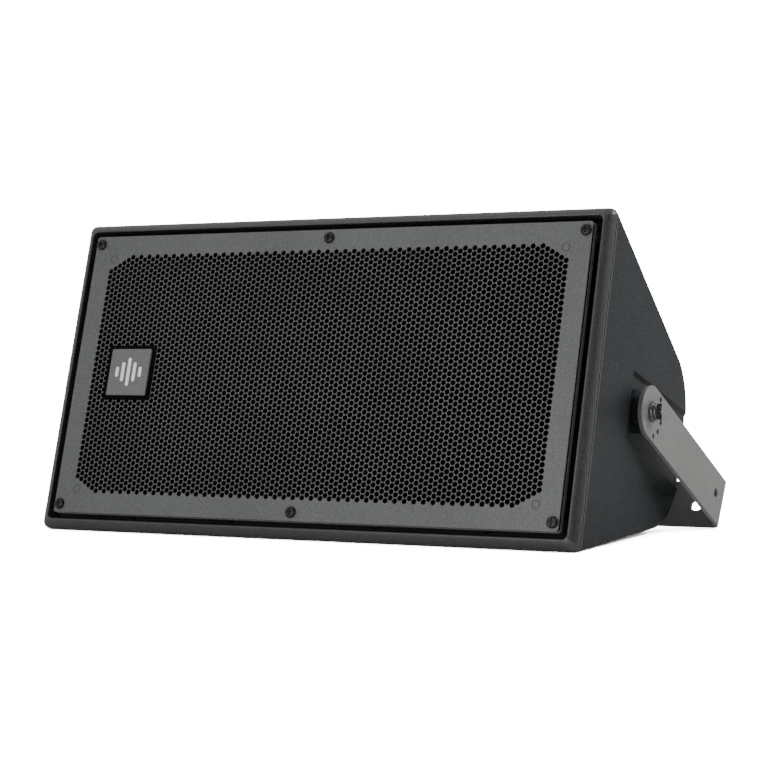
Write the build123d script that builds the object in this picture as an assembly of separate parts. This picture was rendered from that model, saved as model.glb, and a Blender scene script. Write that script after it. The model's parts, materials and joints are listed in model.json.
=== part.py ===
from build123d import *
import os
from math import asin, atan, atan2, cos, degrees, hypot, radians, sin

# Two-way 8 inch loudspeaker in a moulded wedge cabinet, held in a U-shaped tilt bracket.
#
# Everything is first built in the cabinet's own upright frame, in millimetres:
#   X to the right seen from the front, Y backwards from the grille's face, Z up, with the
#   cabinet's horizontal mid-plane at Z = 0.
# The last section leans the whole assembly back until it stands on its front bottom edge and
# on the bracket's heel, and puts the origin under the middle of its bounding box.

os.makedirs("parts", exist_ok=True)

# ---------------------------------------------------------------- driving dimensions
# Cabinet
RIM_FRONT_Y = 1.0
REAR_Y = 266.0
SIDE_X_AT_FACE = 257.0        # half width of the side walls, run forward to Y = 0
SIDE_TAPER = 0.114            # inward lean of each side wall, per mm of depth
HALF_HEIGHT_AT_FACE = 141.65  # half height of the top and bottom panels, run forward to Y = 0
PANEL_SLOPE = 0.296           # slope of the top and bottom panels, per mm of depth
REAR_ARC_TOP_R = 62.0
REAR_ARC_BOTTOM_R = 80.0
RIM_ROUND_R = 9.9
LONG_EDGE_R = 6.0
RIM_LIP_R = 1.2
WALL = 5.0
OPENING_HALF = (247.4, 129.65)
BAFFLE_HALF = (245.0, 125.5)
LEDGE_HALF = (235.0, 116.0)
BAFFLE_FRONT_Y = 20.0
BAFFLE_THICK = 12.0
LEDGE_THICK = 6.0
SEAT_GAP = 0.4                # clearance round the baffle in its seat
SEAT_CORNER_R = 4.0
LEDGE_CORNER_R = 6.0
OVERCUT = 1.0                 # how far a cutter runs past the face that it opens

# Grille
GRILLE_HALF = (240.8, 124.7)
SHEET_THICK = 1.5
FOAM_THICK = 2.5
FRAME_THICK = 4.0
FRAME_STRIP = 12.0
GRILLE_CORNER_R = 2.5
GRILLE_SCREW_X = (-235.3, 0.0, 235.3)
GRILLE_SCREW_Z = 117.3
STUD_X, STUD_Z = 219.5, 103.7
BADGE_X = -182.5
BADGE_SIDE = 41.3

# Tilt bracket
PIVOT_Y = 119.0
ARM_INNER_X = 252.0
ARM_THICK = 4.0
ARM_WIDTH = 43.0
BRACKET_REACH = 184.0         # pivot axis to the outer face of the base plate
BRACKET_ANGLE = 12.65         # how far the arms hang below the cabinet's own back axis
BEND_R = 7.0
STRAP_EDGE_R = 0.5
LOCK_R = 20.0
LOCK_HOLE_R = 2.25
LOCK_STEP = 28.0
ARM_HOLE_R = 4.0
ARM_HOLE_REACH = 159.3        # pivot axis to the small hole near the bend
ARM_HOLE_RISE = 1.5
BASE_HOLE_X = 231.5
BASE_HOLE_Z = -1.0
BASE_HOLE_R = 5.5
CENTRE_HOLE_R = 5.5
MID_HOLE_X = 60.0

# Drivers
WOOFER_X = -118.0
WOOFER_FLANGE_R = 106.0
WOOFER_HOLE_R = 94.0
HORN_X = 118.0
HORN_FLANGE_HALF = 98.0
HORN_HOLE_HALF = 86.0
HORN_MOUTH_HALF = 80.0
THROAT_R = 12.7
THROAT_Y = 104.0
FLANGE_THICK = 4.0
GASKET_THICK = 1.5

# Clearances
THREAD_GAP = 0.1              # radial gap between a screw and its hole
BEARING_GAP = 0.08            # radial gap between the pivot bolt and the bracket arm
CLAMP_GAP = 0.05              # gap at each face of the bracket arm

# ---------------------------------------------------------------- derived dimensions
SLOPE_ANGLE = atan(PANEL_SLOPE)
TAPER_ANGLE = atan(SIDE_TAPER)
BAFFLE_BACK_Y = BAFFLE_FRONT_Y + BAFFLE_THICK
LEDGE_BACK_Y = BAFFLE_BACK_Y + LEDGE_THICK
FRAME_FRONT_Y = SHEET_THICK + FOAM_THICK
FRAME_BACK_Y = FRAME_FRONT_Y + FRAME_THICK
DRIVER_SEAT_Y = BAFFLE_FRONT_Y - GASKET_THICK
DRIVER_FACE_Y = DRIVER_SEAT_Y - FLANGE_THICK
ARM_OUTER_X = ARM_INNER_X + ARM_THICK
ARM_HALF = ARM_WIDTH / 2


def side_x(y):
    """Half width of the cabinet's outside at depth y."""
    return SIDE_X_AT_FACE - SIDE_TAPER * y


def panel_z(y):
    """Half height of the cabinet's outside at depth y, before the rear arc."""
    return HALF_HEIGHT_AT_FACE - PANEL_SLOPE * y


# ---------------------------------------------------------------- small helpers
nodes = {}


def add(name, *solids):
    """Keep one or more separate solids as the node of that name."""
    flat = []
    for shape in solids:
        flat.extend(shape.solids())
    nodes[name] = flat


def along_y(x=0.0, y=0.0, z=0.0):
    """Location whose local Z runs backwards along the cabinet's Y axis."""
    return Location(Plane(origin=(x, y, z), x_dir=(1, 0, 0), z_dir=(0, 1, 0)))


def disc(radius, y_front, y_back, x=0.0, z=0.0):
    """Cylinder along Y."""
    return along_y(x, y_front, z) * extrude(Circle(radius), y_back - y_front)


def ring(outer_r, inner_r, y_front, y_back, x=0.0, z=0.0):
    """Tube along Y."""
    return disc(outer_r, y_front, y_back, x, z) - disc(inner_r, y_front, y_back, x, z)


def slab(half_x, half_z, y_front, y_back, x=0.0, z=0.0, corner=0.0):
    """Plate facing forwards, with rounded corners when corner is above zero."""
    if corner:
        outline = RectangleRounded(2 * half_x, 2 * half_z, corner)
    else:
        outline = Rectangle(2 * half_x, 2 * half_z)
    return along_y(x, y_front, z) * extrude(outline, y_back - y_front)


def block(x_range, y_range, z_range):
    """Box between the given limits."""
    size = [high - low for low, high in (x_range, y_range, z_range)]
    centre = [(high + low) / 2 for low, high in (x_range, y_range, z_range)]
    return Pos(*centre) * Box(*size)


def turned(points, x=0.0, z=0.0):
    """Solid turned about an axis along Y, from (radius, y) points."""
    outline = make_face(Polyline(*points, close=True))
    return Pos(x, 0, z) * revolve(outline, Axis.Y)


def turned_edges(edges, x=0.0, z=0.0):
    """Solid turned about an axis along Y, from a closed chain of edges."""
    return Pos(x, 0, z) * revolve(make_face(edges), Axis.Y)


def dome_arc(radius, rim_y, crown_y, inwards=True):
    """Quarter profile of a shallow sphere centred on the axis, from its rim to its crown."""
    height = crown_y - rim_y
    sphere_r = (radius ** 2 + height ** 2) / (2 * height)
    half_angle = asin(radius / abs(sphere_r)) / 2
    centre_y = crown_y - sphere_r
    middle = (abs(sphere_r) * sin(half_angle), centre_y + sphere_r * cos(half_angle))
    if inwards:
        return ThreePointArc((radius, rim_y), middle, (0, crown_y))
    return ThreePointArc((0, crown_y), middle, (radius, rim_y))


def fuse(first, *others):
    """One solid from several that touch."""
    result = first
    for other in others:
        result = result + other
    return result


def around(count, radius, start=0.0):
    """Places on a circle in the X-Z plane, as (x, z) pairs."""
    step = 360.0 / count
    angles = [radians(start + step * i) for i in range(count)]
    return [(radius * cos(a), radius * sin(a)) for a in angles]


def pan_screw(x, z, head_y, head_r, head_h, shank_r, shank_len, recess=0.55):
    """Cross-recess pan-head screw along +Y, its head standing in front of head_y."""
    crown_r = head_r * 0.62
    profile = [
        Line((0, head_y - head_h), (crown_r, head_y - head_h)),
        ThreePointArc(
            (crown_r, head_y - head_h),
            (head_r * 0.93, head_y - head_h * 0.66),
            (head_r, head_y),
        ),
        Line((head_r, head_y), (shank_r, head_y)),
        Line((shank_r, head_y), (shank_r, head_y + shank_len - shank_r)),
        Line((shank_r, head_y + shank_len - shank_r), (shank_r * 0.3, head_y + shank_len)),
        Line((shank_r * 0.3, head_y + shank_len), (0, head_y + shank_len)),
        Line((0, head_y + shank_len), (0, head_y - head_h)),
    ]
    body = turned_edges(profile, x, z)
    blade, slot = head_r * recess, head_r * 0.11
    depth = head_h * 0.6
    for half_x, half_z in ((blade, slot), (slot, blade)):
        body = body - slab(half_x, half_z, head_y - head_h, head_y - head_h + depth, x, z)
    return body


def drill(solid, places, radius, y_front, y_back):
    """Round holes through a forward-facing plate."""
    for x, z in places:
        solid = solid - disc(radius, y_front - OVERCUT, y_back + OVERCUT, x, z)
    return solid


# ---------------------------------------------------------------- cabinet
def cabinet_block(inset, front_y):
    """Wedge-shaped block: the cabinet's outline moved inwards by inset."""
    slope_inset = inset / cos(SLOPE_ANGLE)
    taper_inset = inset / cos(TAPER_ANGLE)
    rear_y = REAR_Y - inset
    front_z = panel_z(front_y) - slope_inset
    rear_z = panel_z(rear_y) - slope_inset
    side = Polyline(
        (front_y, -front_z), (rear_y, -rear_z), (rear_y, rear_z), (front_y, front_z), close=True
    )
    solid = extrude(Plane.YZ * make_face(side), SIDE_X_AT_FACE + WALL, both=True)
    for side_of_z, arc_r in ((1, REAR_ARC_TOP_R), (-1, REAR_ARC_BOTTOM_R)):
        rear_edge = solid.edges().filter_by(Axis.X).group_by(Axis.Y)[-1].sort_by(Axis.Z)
        solid = fillet(rear_edge[-1] if side_of_z > 0 else rear_edge[0], arc_r - inset)
    front_x = side_x(front_y) - taper_inset
    rear_x = side_x(rear_y) - taper_inset
    plan = Polyline(
        (-front_x, front_y), (front_x, front_y), (rear_x, rear_y), (-rear_x, rear_y), close=True
    )
    return solid & extrude(make_face(plan), HALF_HEIGHT_AT_FACE + WALL, both=True)


POCKET_FRONT_Y = 96.0
POCKET_DEPTH = 2.8
POCKET_FRONT_HALF = 29.0      # half height where the pocket's walls meet the side, at its front
POCKET_REAR_HALF = 34.7       # and at the rear
POCKET_WALL_RUN = 2.4         # how far the pocket's slanted walls lean outwards over its depth
BOSS_R = 18.0
BOSS_FACE_X = 243.2
BOSS_INNER_X = 221.0
BACKING_INNER_X = 205.0
BACKING_MARGIN = 8.0          # thicker wall kept round the pocket, on the inside
INSERT_R = 8.0
PAD_HALF = (88.0, 40.0)       # thick flat pad inside the rear wall, behind the terminal plate
PAD_FRONT_Y = 247.0
RECESS_FLOOR_Y = 256.0
RECESS_HALF = (78.0, 31.0)
WINDOW_HALF = (60.0, 20.0)
REAR_INSERT_X = 125.0
REAR_BOSS_R = 11.0
REAR_BOSS_DEPTH = 20.0
REAR_INSERT_R = 6.5
REAR_FACE_Y = 264.5
REAR_THREAD_R = 3.4           # minor radius of an M8 thread
REAR_THREAD_DEPTH = 15.0
BAFFLE_SCREWS = [(sx * 240.0, z) for sx in (-1, 1) for z in (-90.0, 0.0, 90.0)]
BAFFLE_SCREWS += [(x, sz * 121.0) for x in (-170.0, -70.0, 70.0, 170.0) for sz in (-1, 1)]
BAFFLE_SCREW_R = 2.0
BAFFLE_SCREW_HEAD = (4.0, 2.6)          # radius and height
BAFFLE_SCREW_SHORT = 0.5                # how far its tip stays inside the ledge
RECESS_CORNER_R = 5.0
TERMINAL_HALF = (75.0, 28.0)
TERMINAL_SCREWS = [(x, sz * 24.0) for x in (-68.0, 0.0, 68.0) for sz in (-1, 1)]
TERMINAL_SCREW_R = 1.5


def bar(radius, x_from, x_to, y=PIVOT_Y, z=0.0):
    """Cylinder along X."""
    base = Location(Plane(origin=(x_from, y, z), x_dir=(0, 1, 0), z_dir=(1, 0, 0)))
    return base * extrude(Circle(radius), x_to - x_from)


def both_sides(solid):
    """The solid and its mirror image on the other side of the cabinet."""
    return solid, mirror(solid, Plane.YZ)


def pocket_cutter():
    """Shallow fan-shaped recess for the bracket arm, with slanted walls, open at the rear."""
    length = REAR_Y + WALL - POCKET_FRONT_Y
    fan = (POCKET_REAR_HALF - POCKET_FRONT_HALF) / (REAR_Y - POCKET_FRONT_Y)
    rear_half_here = POCKET_REAR_HALF + fan * WALL
    wall = Plane(
        origin=(side_x(POCKET_FRONT_Y), POCKET_FRONT_Y, 0),
        x_dir=(-SIDE_TAPER, 1, 0), z_dir=(1, SIDE_TAPER, 0),
    )
    outlines = []
    for rise in (-POCKET_DEPTH, POCKET_DEPTH):
        grow = POCKET_WALL_RUN * rise / POCKET_DEPTH
        front_half, rear_half = POCKET_FRONT_HALF + grow, rear_half_here + grow
        outline = Polyline(
            (-grow, -front_half), (length, -rear_half), (length, rear_half), (-grow, front_half),
            close=True,
        )
        outlines.append(wall.offset(rise) * make_face(outline))
    return loft(outlines, ruled=True)


def make_shell():
    outer = cabinet_block(0.0, RIM_FRONT_Y)
    outer = fillet(outer.edges().group_by(Axis.Y)[0], RIM_ROUND_R)
    rounding_end_y = RIM_FRONT_Y + 2 * RIM_ROUND_R
    long_edges = [
        edge for edge in outer.edges()
        if edge.center().Y > rounding_end_y and abs(edge.center().X) > side_x(REAR_Y) - OVERCUT
    ]
    outer = fillet(long_edges, LONG_EDGE_R)
    for cutter in both_sides(pocket_cutter()):
        outer = outer - cutter
    for boss in both_sides(bar(BOSS_R, BOSS_INNER_X, BOSS_FACE_X)):
        outer = outer + boss

    cavity = cabinet_block(WALL, LEDGE_BACK_Y)
    cavity = cavity - block(
        (-PAD_HALF[0], PAD_HALF[0]), (PAD_FRONT_Y, REAR_Y), (-PAD_HALF[1], PAD_HALF[1])
    )
    for x in (-REAR_INSERT_X, REAR_INSERT_X):
        cavity = cavity - disc(REAR_BOSS_R, REAR_FACE_Y - REAR_BOSS_DEPTH, REAR_Y, x)
    backing_half = POCKET_REAR_HALF + BACKING_MARGIN
    pocket_backing = block(
        (BACKING_INNER_X, SIDE_X_AT_FACE), (POCKET_FRONT_Y - BACKING_MARGIN, REAR_Y),
        (-backing_half, backing_half),
    )
    inner_wall = cabinet_block(WALL, LEDGE_BACK_Y) & pocket_backing
    inner_wall = inner_wall - cabinet_block(WALL + POCKET_DEPTH, LEDGE_BACK_Y)
    for web in both_sides(inner_wall):
        cavity = cavity - web
    for boss in both_sides(bar(BOSS_R, BOSS_INNER_X, BOSS_FACE_X)):
        cavity = cavity - boss
    shell = outer - cavity

    opening_half_x, opening_half_z = OPENING_HALF
    opening = slab(
        opening_half_x, opening_half_z, RIM_FRONT_Y - OVERCUT, BAFFLE_FRONT_Y, corner=SEAT_CORNER_R
    )
    shell = shell - opening
    lip_edges = [
        edge for edge in shell.edges()
        if edge.center().Y < RIM_FRONT_Y + OVERCUT
        and abs(edge.center().X) < opening_half_x + THREAD_GAP
        and abs(edge.center().Z) < opening_half_z + THREAD_GAP
    ]
    shell = fillet(lip_edges, RIM_LIP_R)
    seat_half = [half + SEAT_GAP for half in BAFFLE_HALF]
    shell = shell - slab(*seat_half, BAFFLE_FRONT_Y - OVERCUT, BAFFLE_BACK_Y, corner=SEAT_CORNER_R)
    shell = shell - slab(
        *LEDGE_HALF, BAFFLE_BACK_Y - OVERCUT, LEDGE_BACK_Y + OVERCUT, corner=LEDGE_CORNER_R
    )
    shell = drill(shell, BAFFLE_SCREWS, BAFFLE_SCREW_R + THREAD_GAP, BAFFLE_BACK_Y, LEDGE_BACK_Y)

    shell = shell - slab(*RECESS_HALF, RECESS_FLOOR_Y, REAR_Y + OVERCUT, corner=RECESS_CORNER_R)
    shell = shell - slab(
        *WINDOW_HALF, PAD_FRONT_Y - OVERCUT, RECESS_FLOOR_Y + OVERCUT, corner=RECESS_CORNER_R
    )
    for x, z in TERMINAL_SCREWS:
        hole_r = TERMINAL_SCREW_R + THREAD_GAP
        shell = shell - disc(hole_r, PAD_FRONT_Y + OVERCUT, RECESS_FLOOR_Y + OVERCUT, x, z)
    for x in (-REAR_INSERT_X, REAR_INSERT_X):
        shell = shell - disc(REAR_BOSS_R, REAR_FACE_Y, REAR_Y + OVERCUT, x)
        shell = shell - disc(REAR_INSERT_R, REAR_FACE_Y - REAR_BOSS_DEPTH - OVERCUT, REAR_Y, x)
    for hole in both_sides(bar(INSERT_R, BOSS_INNER_X - OVERCUT, BOSS_FACE_X + OVERCUT)):
        shell = shell - hole
    return shell


add("cabinet_shell", make_shell())

# ---------------------------------------------------------------- baffle
WOOFER_SCREWS = [(WOOFER_X + dx, dz) for dx, dz in around(8, 100.0, 22.5)]
HORN_SCREW_AT = 91.0
HORN_SCREWS = [
    (HORN_X + sx * HORN_SCREW_AT, sz * HORN_SCREW_AT)
    for sx in (-1, 0, 1) for sz in (-1, 0, 1) if sx or sz
]
DRIVER_SCREWS = WOOFER_SCREWS + HORN_SCREWS
DRIVER_SCREW_R = 2.0
DRIVER_SCREW_HEAD = (3.8, 2.4)
DRIVER_SCREW_LEN = 16.0
DRIVER_HOLE_R = DRIVER_SCREW_R + THREAD_GAP
BAFFLE_GASKET_THICK = 1.0
HORN_HOLE_CORNER_R = 8.0
POST_R = 5.0
POST_TENON_R = 3.0
POST_TENON_LEN = 5.0
POSTS = [(x, sz * GRILLE_SCREW_Z) for x in GRILLE_SCREW_X for sz in (-1, 1)]
gasket_front_y = BAFFLE_BACK_Y - BAFFLE_GASKET_THICK


def make_baffle():
    """Board with the woofer and horn openings, and the holes of every screw in it."""
    board = slab(*BAFFLE_HALF, BAFFLE_FRONT_Y, gasket_front_y, corner=SEAT_CORNER_R)
    board = drill(board, [(WOOFER_X, 0)], WOOFER_HOLE_R, BAFFLE_FRONT_Y, gasket_front_y)
    board = board - slab(
        HORN_HOLE_HALF, HORN_HOLE_HALF, BAFFLE_FRONT_Y - OVERCUT, BAFFLE_BACK_Y, HORN_X,
        corner=HORN_HOLE_CORNER_R,
    )
    board = drill(board, BAFFLE_SCREWS, BAFFLE_SCREW_R + THREAD_GAP, BAFFLE_FRONT_Y, gasket_front_y)
    board = drill(board, DRIVER_SCREWS, DRIVER_HOLE_R, BAFFLE_FRONT_Y, gasket_front_y)
    return drill(board, POSTS, POST_TENON_R, BAFFLE_FRONT_Y, BAFFLE_FRONT_Y + POST_TENON_LEN)


add("front_baffle", make_baffle())
gasket = slab(*BAFFLE_HALF, gasket_front_y, BAFFLE_BACK_Y, corner=SEAT_CORNER_R)
gasket = gasket - slab(
    *LEDGE_HALF, gasket_front_y - OVERCUT, BAFFLE_BACK_Y + OVERCUT, corner=LEDGE_CORNER_R
)
add("baffle_gasket", drill(
    gasket, BAFFLE_SCREWS, BAFFLE_SCREW_R + THREAD_GAP, gasket_front_y, BAFFLE_BACK_Y
))
baffle_screw_len = LEDGE_BACK_Y - BAFFLE_FRONT_Y - BAFFLE_SCREW_SHORT
add("baffle_screws", *[
    pan_screw(x, z, BAFFLE_FRONT_Y, *BAFFLE_SCREW_HEAD, BAFFLE_SCREW_R, baffle_screw_len)
    for x, z in BAFFLE_SCREWS
])

# ---------------------------------------------------------------- grille
GRILLE_SCREW_R = 2.5
GRILLE_SCREW_HEAD = (4.85, 2.6)
GRILLE_SCREW_LEN = FRAME_BACK_Y + 8.0
GRILLE_HOLE_R = 2.8
FOAM_INSET = 0.6              # how far the foam's edge stands in from the sheet's
FRAME_CORNER_R = 3.0
STUD_R = 3.6
POST_BORE_DEPTH = 10.0
BADGE_BASE_HALF = 24.2
BADGE_BASE_THICK = 1.0
BADGE_BASE_CORNER_R = 1.5
BADGE_THICK = 1.8
BADGE_CORNER_R = 1.2
BADGE_CHAMFER = 0.5
MARK_THICK = 0.3
MARK_BAR_HEIGHTS = (9.0, 17.0, 25.0, 17.0, 9.0)
MARK_BAR_PITCH = 6.0
MARK_BAR_HALF_WIDTH = 1.6
MARK_BAR_CORNER_R = 1.5

sheet = slab(*GRILLE_HALF, 0, SHEET_THICK, corner=GRILLE_CORNER_R)
add("grille_panel", drill(sheet, POSTS, GRILLE_HOLE_R, 0, SHEET_THICK))

studs = [(sx * STUD_X, sz * STUD_Z) for sx in (-1, 1) for sz in (-1, 1)]
foam_half = [half - FOAM_INSET for half in GRILLE_HALF]
foam = slab(*foam_half, SHEET_THICK, FRAME_FRONT_Y, corner=GRILLE_CORNER_R)
foam = drill(foam, studs, STUD_R + THREAD_GAP, SHEET_THICK, FRAME_FRONT_Y)
add("grille_foam", drill(foam, POSTS, GRILLE_HOLE_R, SHEET_THICK, FRAME_FRONT_Y))

frame_inner = [half - FRAME_STRIP for half in GRILLE_HALF]
frame_ring = slab(*GRILLE_HALF, FRAME_FRONT_Y, FRAME_BACK_Y, corner=GRILLE_CORNER_R)
frame_ring = frame_ring - slab(
    *frame_inner, FRAME_FRONT_Y - OVERCUT, FRAME_BACK_Y + OVERCUT, corner=FRAME_CORNER_R
)
add("grille_frame", drill(frame_ring, POSTS, GRILLE_HOLE_R, FRAME_FRONT_Y, FRAME_BACK_Y))
add("grille_studs", *[disc(STUD_R, SHEET_THICK, FRAME_BACK_Y, x, z) for x, z in studs])


def make_post(x, z):
    """Round post from the baffle to the grille frame, bored for the grille's screw."""
    post = disc(POST_R, FRAME_BACK_Y, BAFFLE_FRONT_Y, x, z)
    post = post + disc(POST_TENON_R, BAFFLE_FRONT_Y, BAFFLE_FRONT_Y + POST_TENON_LEN, x, z)
    return post - disc(GRILLE_SCREW_R + THREAD_GAP, FRAME_BACK_Y, FRAME_BACK_Y + POST_BORE_DEPTH, x, z)


add("grille_posts", *[make_post(x, z) for x, z in POSTS])
add("grille_screws", *[
    pan_screw(x, z, 0, *GRILLE_SCREW_HEAD, GRILLE_SCREW_R, GRILLE_SCREW_LEN) for x, z in POSTS
])

badge_front_y = -BADGE_BASE_THICK - BADGE_THICK
add("badge_base", slab(
    BADGE_BASE_HALF, BADGE_BASE_HALF, -BADGE_BASE_THICK, 0, BADGE_X, corner=BADGE_BASE_CORNER_R
))
badge = slab(
    BADGE_SIDE / 2, BADGE_SIDE / 2, badge_front_y, -BADGE_BASE_THICK, BADGE_X, corner=BADGE_CORNER_R
)
add("badge_plate", chamfer(badge.faces().sort_by(Axis.Y)[0].edges(), BADGE_CHAMFER))
bars = []
for index, height in enumerate(MARK_BAR_HEIGHTS):
    x = BADGE_X + (index - (len(MARK_BAR_HEIGHTS) - 1) / 2) * MARK_BAR_PITCH
    bars.append(slab(
        MARK_BAR_HALF_WIDTH, height / 2, badge_front_y - MARK_THICK, badge_front_y, x,
        corner=MARK_BAR_CORNER_R,
    ))
add("badge_mark", *bars)

# ---------------------------------------------------------------- woofer
# Radii and depths of the turned parts, in the order in which they are stacked.
FORMER_INNER_R, FORMER_OUTER_R, COIL_OUTER_R = 25.0, 25.4, 26.6
GAP_OUTER_R = 27.4            # bore of the top plate
POLE_PIECE_R = 24.4
TOP_PLATE_Y, MAGNET_Y, BACK_PLATE_Y, MOTOR_END_Y = 80.0, 86.0, 104.0, 110.0
TOP_PLATE_R = 60.0
MAGNET_OUTER_R, MAGNET_INNER_R = 66.0, 32.0
BACK_PLATE_R = 62.0
VENT_R = 8.0
LAND_Y = 17.6                 # front of the ledge that the surround is glued to
LAND_R = 93.0
FORMER_FRONT_Y, FORMER_BACK_Y = 46.0, 90.0
COIL_FRONT_Y, COIL_BACK_Y = 77.0, 89.0
SPIDER_Y = 66.5
SPIDER_EDGE_R = 55.5
WOOFER_GASKET_LIP = 0.5       # how far the gasket stays back from the baffle's opening
BASKET_PROFILE = [
    (LAND_R, DRIVER_FACE_Y), (WOOFER_FLANGE_R, DRIVER_FACE_Y), (WOOFER_FLANGE_R, DRIVER_SEAT_Y),
    (LAND_R, DRIVER_SEAT_Y), (LAND_R, 22.0), (TOP_PLATE_R, 68.0), (TOP_PLATE_R, TOP_PLATE_Y),
    (34.0, TOP_PLATE_Y), (34.0, 77.0), (56.0, 77.0), (56.0, 70.0), (50.0, 70.0), (50.0, 67.5),
    (56.5, 67.5), (86.5, 21.0), (86.5, LAND_Y), (LAND_R, LAND_Y),
]
BASKET_WINDOWS = 6
BASKET_WINDOW_HALF = 19.0


def make_basket():
    """Cast frame with its flange, six windows and the shelf for the spider."""
    body = turned(BASKET_PROFILE, WOOFER_X)
    width = (-BASKET_WINDOW_HALF, BASKET_WINDOW_HALF)
    window = block((62, 100), (29, 60), width) + block((50, 66), (40, 60), width)
    for index in range(BASKET_WINDOWS):
        angle = (index + 0.5) * 360 / BASKET_WINDOWS
        body = body - Pos(WOOFER_X, 0, 0) * Rot(0, angle, 0) * window
    return drill(body, WOOFER_SCREWS, DRIVER_HOLE_R, DRIVER_FACE_Y, DRIVER_SEAT_Y)


add("woofer_basket", make_basket())
woofer_gasket = ring(
    WOOFER_FLANGE_R, WOOFER_HOLE_R + WOOFER_GASKET_LIP, DRIVER_SEAT_Y, BAFFLE_FRONT_Y, WOOFER_X
)
add("woofer_gasket", drill(
    woofer_gasket, WOOFER_SCREWS, DRIVER_HOLE_R, DRIVER_SEAT_Y, BAFFLE_FRONT_Y
))
add("driver_screws", *[
    pan_screw(x, z, DRIVER_FACE_Y, *DRIVER_SCREW_HEAD, DRIVER_SCREW_R, DRIVER_SCREW_LEN)
    for x, z in DRIVER_SCREWS
])
add("woofer_top_plate", ring(TOP_PLATE_R, GAP_OUTER_R, TOP_PLATE_Y, MAGNET_Y, WOOFER_X))
add("woofer_magnet", ring(MAGNET_OUTER_R, MAGNET_INNER_R, MAGNET_Y, BACK_PLATE_Y, WOOFER_X))
back_plate = disc(BACK_PLATE_R, BACK_PLATE_Y, MOTOR_END_Y, WOOFER_X)
back_plate = back_plate + disc(POLE_PIECE_R, TOP_PLATE_Y, BACK_PLATE_Y, WOOFER_X)
add("woofer_back_plate", drill(back_plate, [(WOOFER_X, 0)], VENT_R, TOP_PLATE_Y, MOTOR_END_Y))

SURROUND_FRONT_Y = 17.0
SURROUND_INNER_R, SURROUND_OUTER_R = 73.5, 92.5
ROLL_R, ROLL_HALF, ROLL_HEIGHT = 82.0, 5.0, 5.4
ROLL_INNER_HALF, ROLL_INNER_HEIGHT = 4.2, 5.1


def make_surround():
    """Rubber half roll with a flat land on each side."""
    roll_front = ThreePointArc(
        (ROLL_R - ROLL_HALF, SURROUND_FRONT_Y), (ROLL_R, SURROUND_FRONT_Y - ROLL_HEIGHT),
        (ROLL_R + ROLL_HALF, SURROUND_FRONT_Y),
    )
    roll_back = ThreePointArc(
        (ROLL_R + ROLL_INNER_HALF, LAND_Y), (ROLL_R, LAND_Y - ROLL_INNER_HEIGHT),
        (ROLL_R - ROLL_INNER_HALF, LAND_Y),
    )
    corners = (
        (roll_front @ 1, (SURROUND_OUTER_R, SURROUND_FRONT_Y)),
        ((SURROUND_OUTER_R, SURROUND_FRONT_Y), (SURROUND_OUTER_R, LAND_Y)),
        ((SURROUND_OUTER_R, LAND_Y), roll_back @ 0),
        (roll_back @ 1, (SURROUND_INNER_R, LAND_Y)),
        ((SURROUND_INNER_R, LAND_Y), (SURROUND_INNER_R, SURROUND_FRONT_Y)),
        ((SURROUND_INNER_R, SURROUND_FRONT_Y), roll_front @ 0),
    )
    straight = [Line(start, end) for start, end in corners]
    return turned_edges([roll_front, *straight[:3], roll_back, *straight[3:]], WOOFER_X)


add("woofer_surround", make_surround())
CONE_EDGE = (77.0, 17.7)
CONE_NECK = (25.5, 50.0)
CONE_THICK = 1.1
CONE_MID_R = 50.0
CONE_SAG = 1.8                # how far the cone's profile curves back from a straight line
CAP_R = 30.0
CAP_THICK = 0.8
CAP_HEIGHT = 9.5
CAP_SEAT = 0.3                # how far the cap's rim stands in front of the cone


def cone_y(radius):
    """Front face of the cone at a radius, before its slight curve."""
    share = (CONE_EDGE[0] - radius) / (CONE_EDGE[0] - CONE_NECK[0])
    return CONE_EDGE[1] + share * (CONE_NECK[1] - CONE_EDGE[1])


cone_mid = (CONE_MID_R, cone_y(CONE_MID_R) + CONE_SAG)
cone = [
    ThreePointArc(CONE_EDGE, cone_mid, CONE_NECK),
    Line(CONE_NECK, (CONE_NECK[0], CONE_NECK[1] + CONE_THICK)),
    ThreePointArc(
        (CONE_NECK[0], CONE_NECK[1] + CONE_THICK),
        (cone_mid[0], cone_mid[1] + CONE_THICK),
        (CONE_EDGE[0], CONE_EDGE[1] + CONE_THICK),
    ),
    Line((CONE_EDGE[0], CONE_EDGE[1] + CONE_THICK), CONE_EDGE),
]
add("woofer_cone", turned_edges(cone, WOOFER_X))
cap_rim_y = cone_y(CAP_R) - CAP_SEAT
cap_crown_y = cap_rim_y - CAP_HEIGHT
cap = [
    dome_arc(CAP_R, cap_rim_y, cap_crown_y),
    Line((0, cap_crown_y), (0, cap_crown_y + CAP_THICK)),
    dome_arc(CAP_R - CAP_THICK, cap_rim_y, cap_crown_y + CAP_THICK, inwards=False),
    Line((CAP_R - CAP_THICK, cap_rim_y), (CAP_R, cap_rim_y)),
]
add("woofer_dust_cap", turned_edges(cap, WOOFER_X))
add("woofer_coil_former", ring(
    FORMER_OUTER_R, FORMER_INNER_R, FORMER_FRONT_Y, FORMER_BACK_Y, WOOFER_X
))
add("woofer_voice_coil", ring(COIL_OUTER_R, FORMER_OUTER_R, COIL_FRONT_Y, COIL_BACK_Y, WOOFER_X))


def make_spider():
    """Corrugated disc between the coil former and the basket's inner shelf."""
    start_r, end_r, waves, height, thick = 25.5, 49.5, 5, 1.6, 0.7
    step = (end_r - start_r) / (2 * waves)
    front = [(start_r, SPIDER_Y)]
    for index in range(1, 2 * waves + 1):
        lift = height if index % 2 else 0.0
        front.append((start_r + index * step, SPIDER_Y - lift))
    front.append((SPIDER_EDGE_R, SPIDER_Y))
    back = [(r, y + thick) for r, y in reversed(front)]
    return turned(front + back, WOOFER_X)


add("woofer_spider", make_spider())

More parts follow.
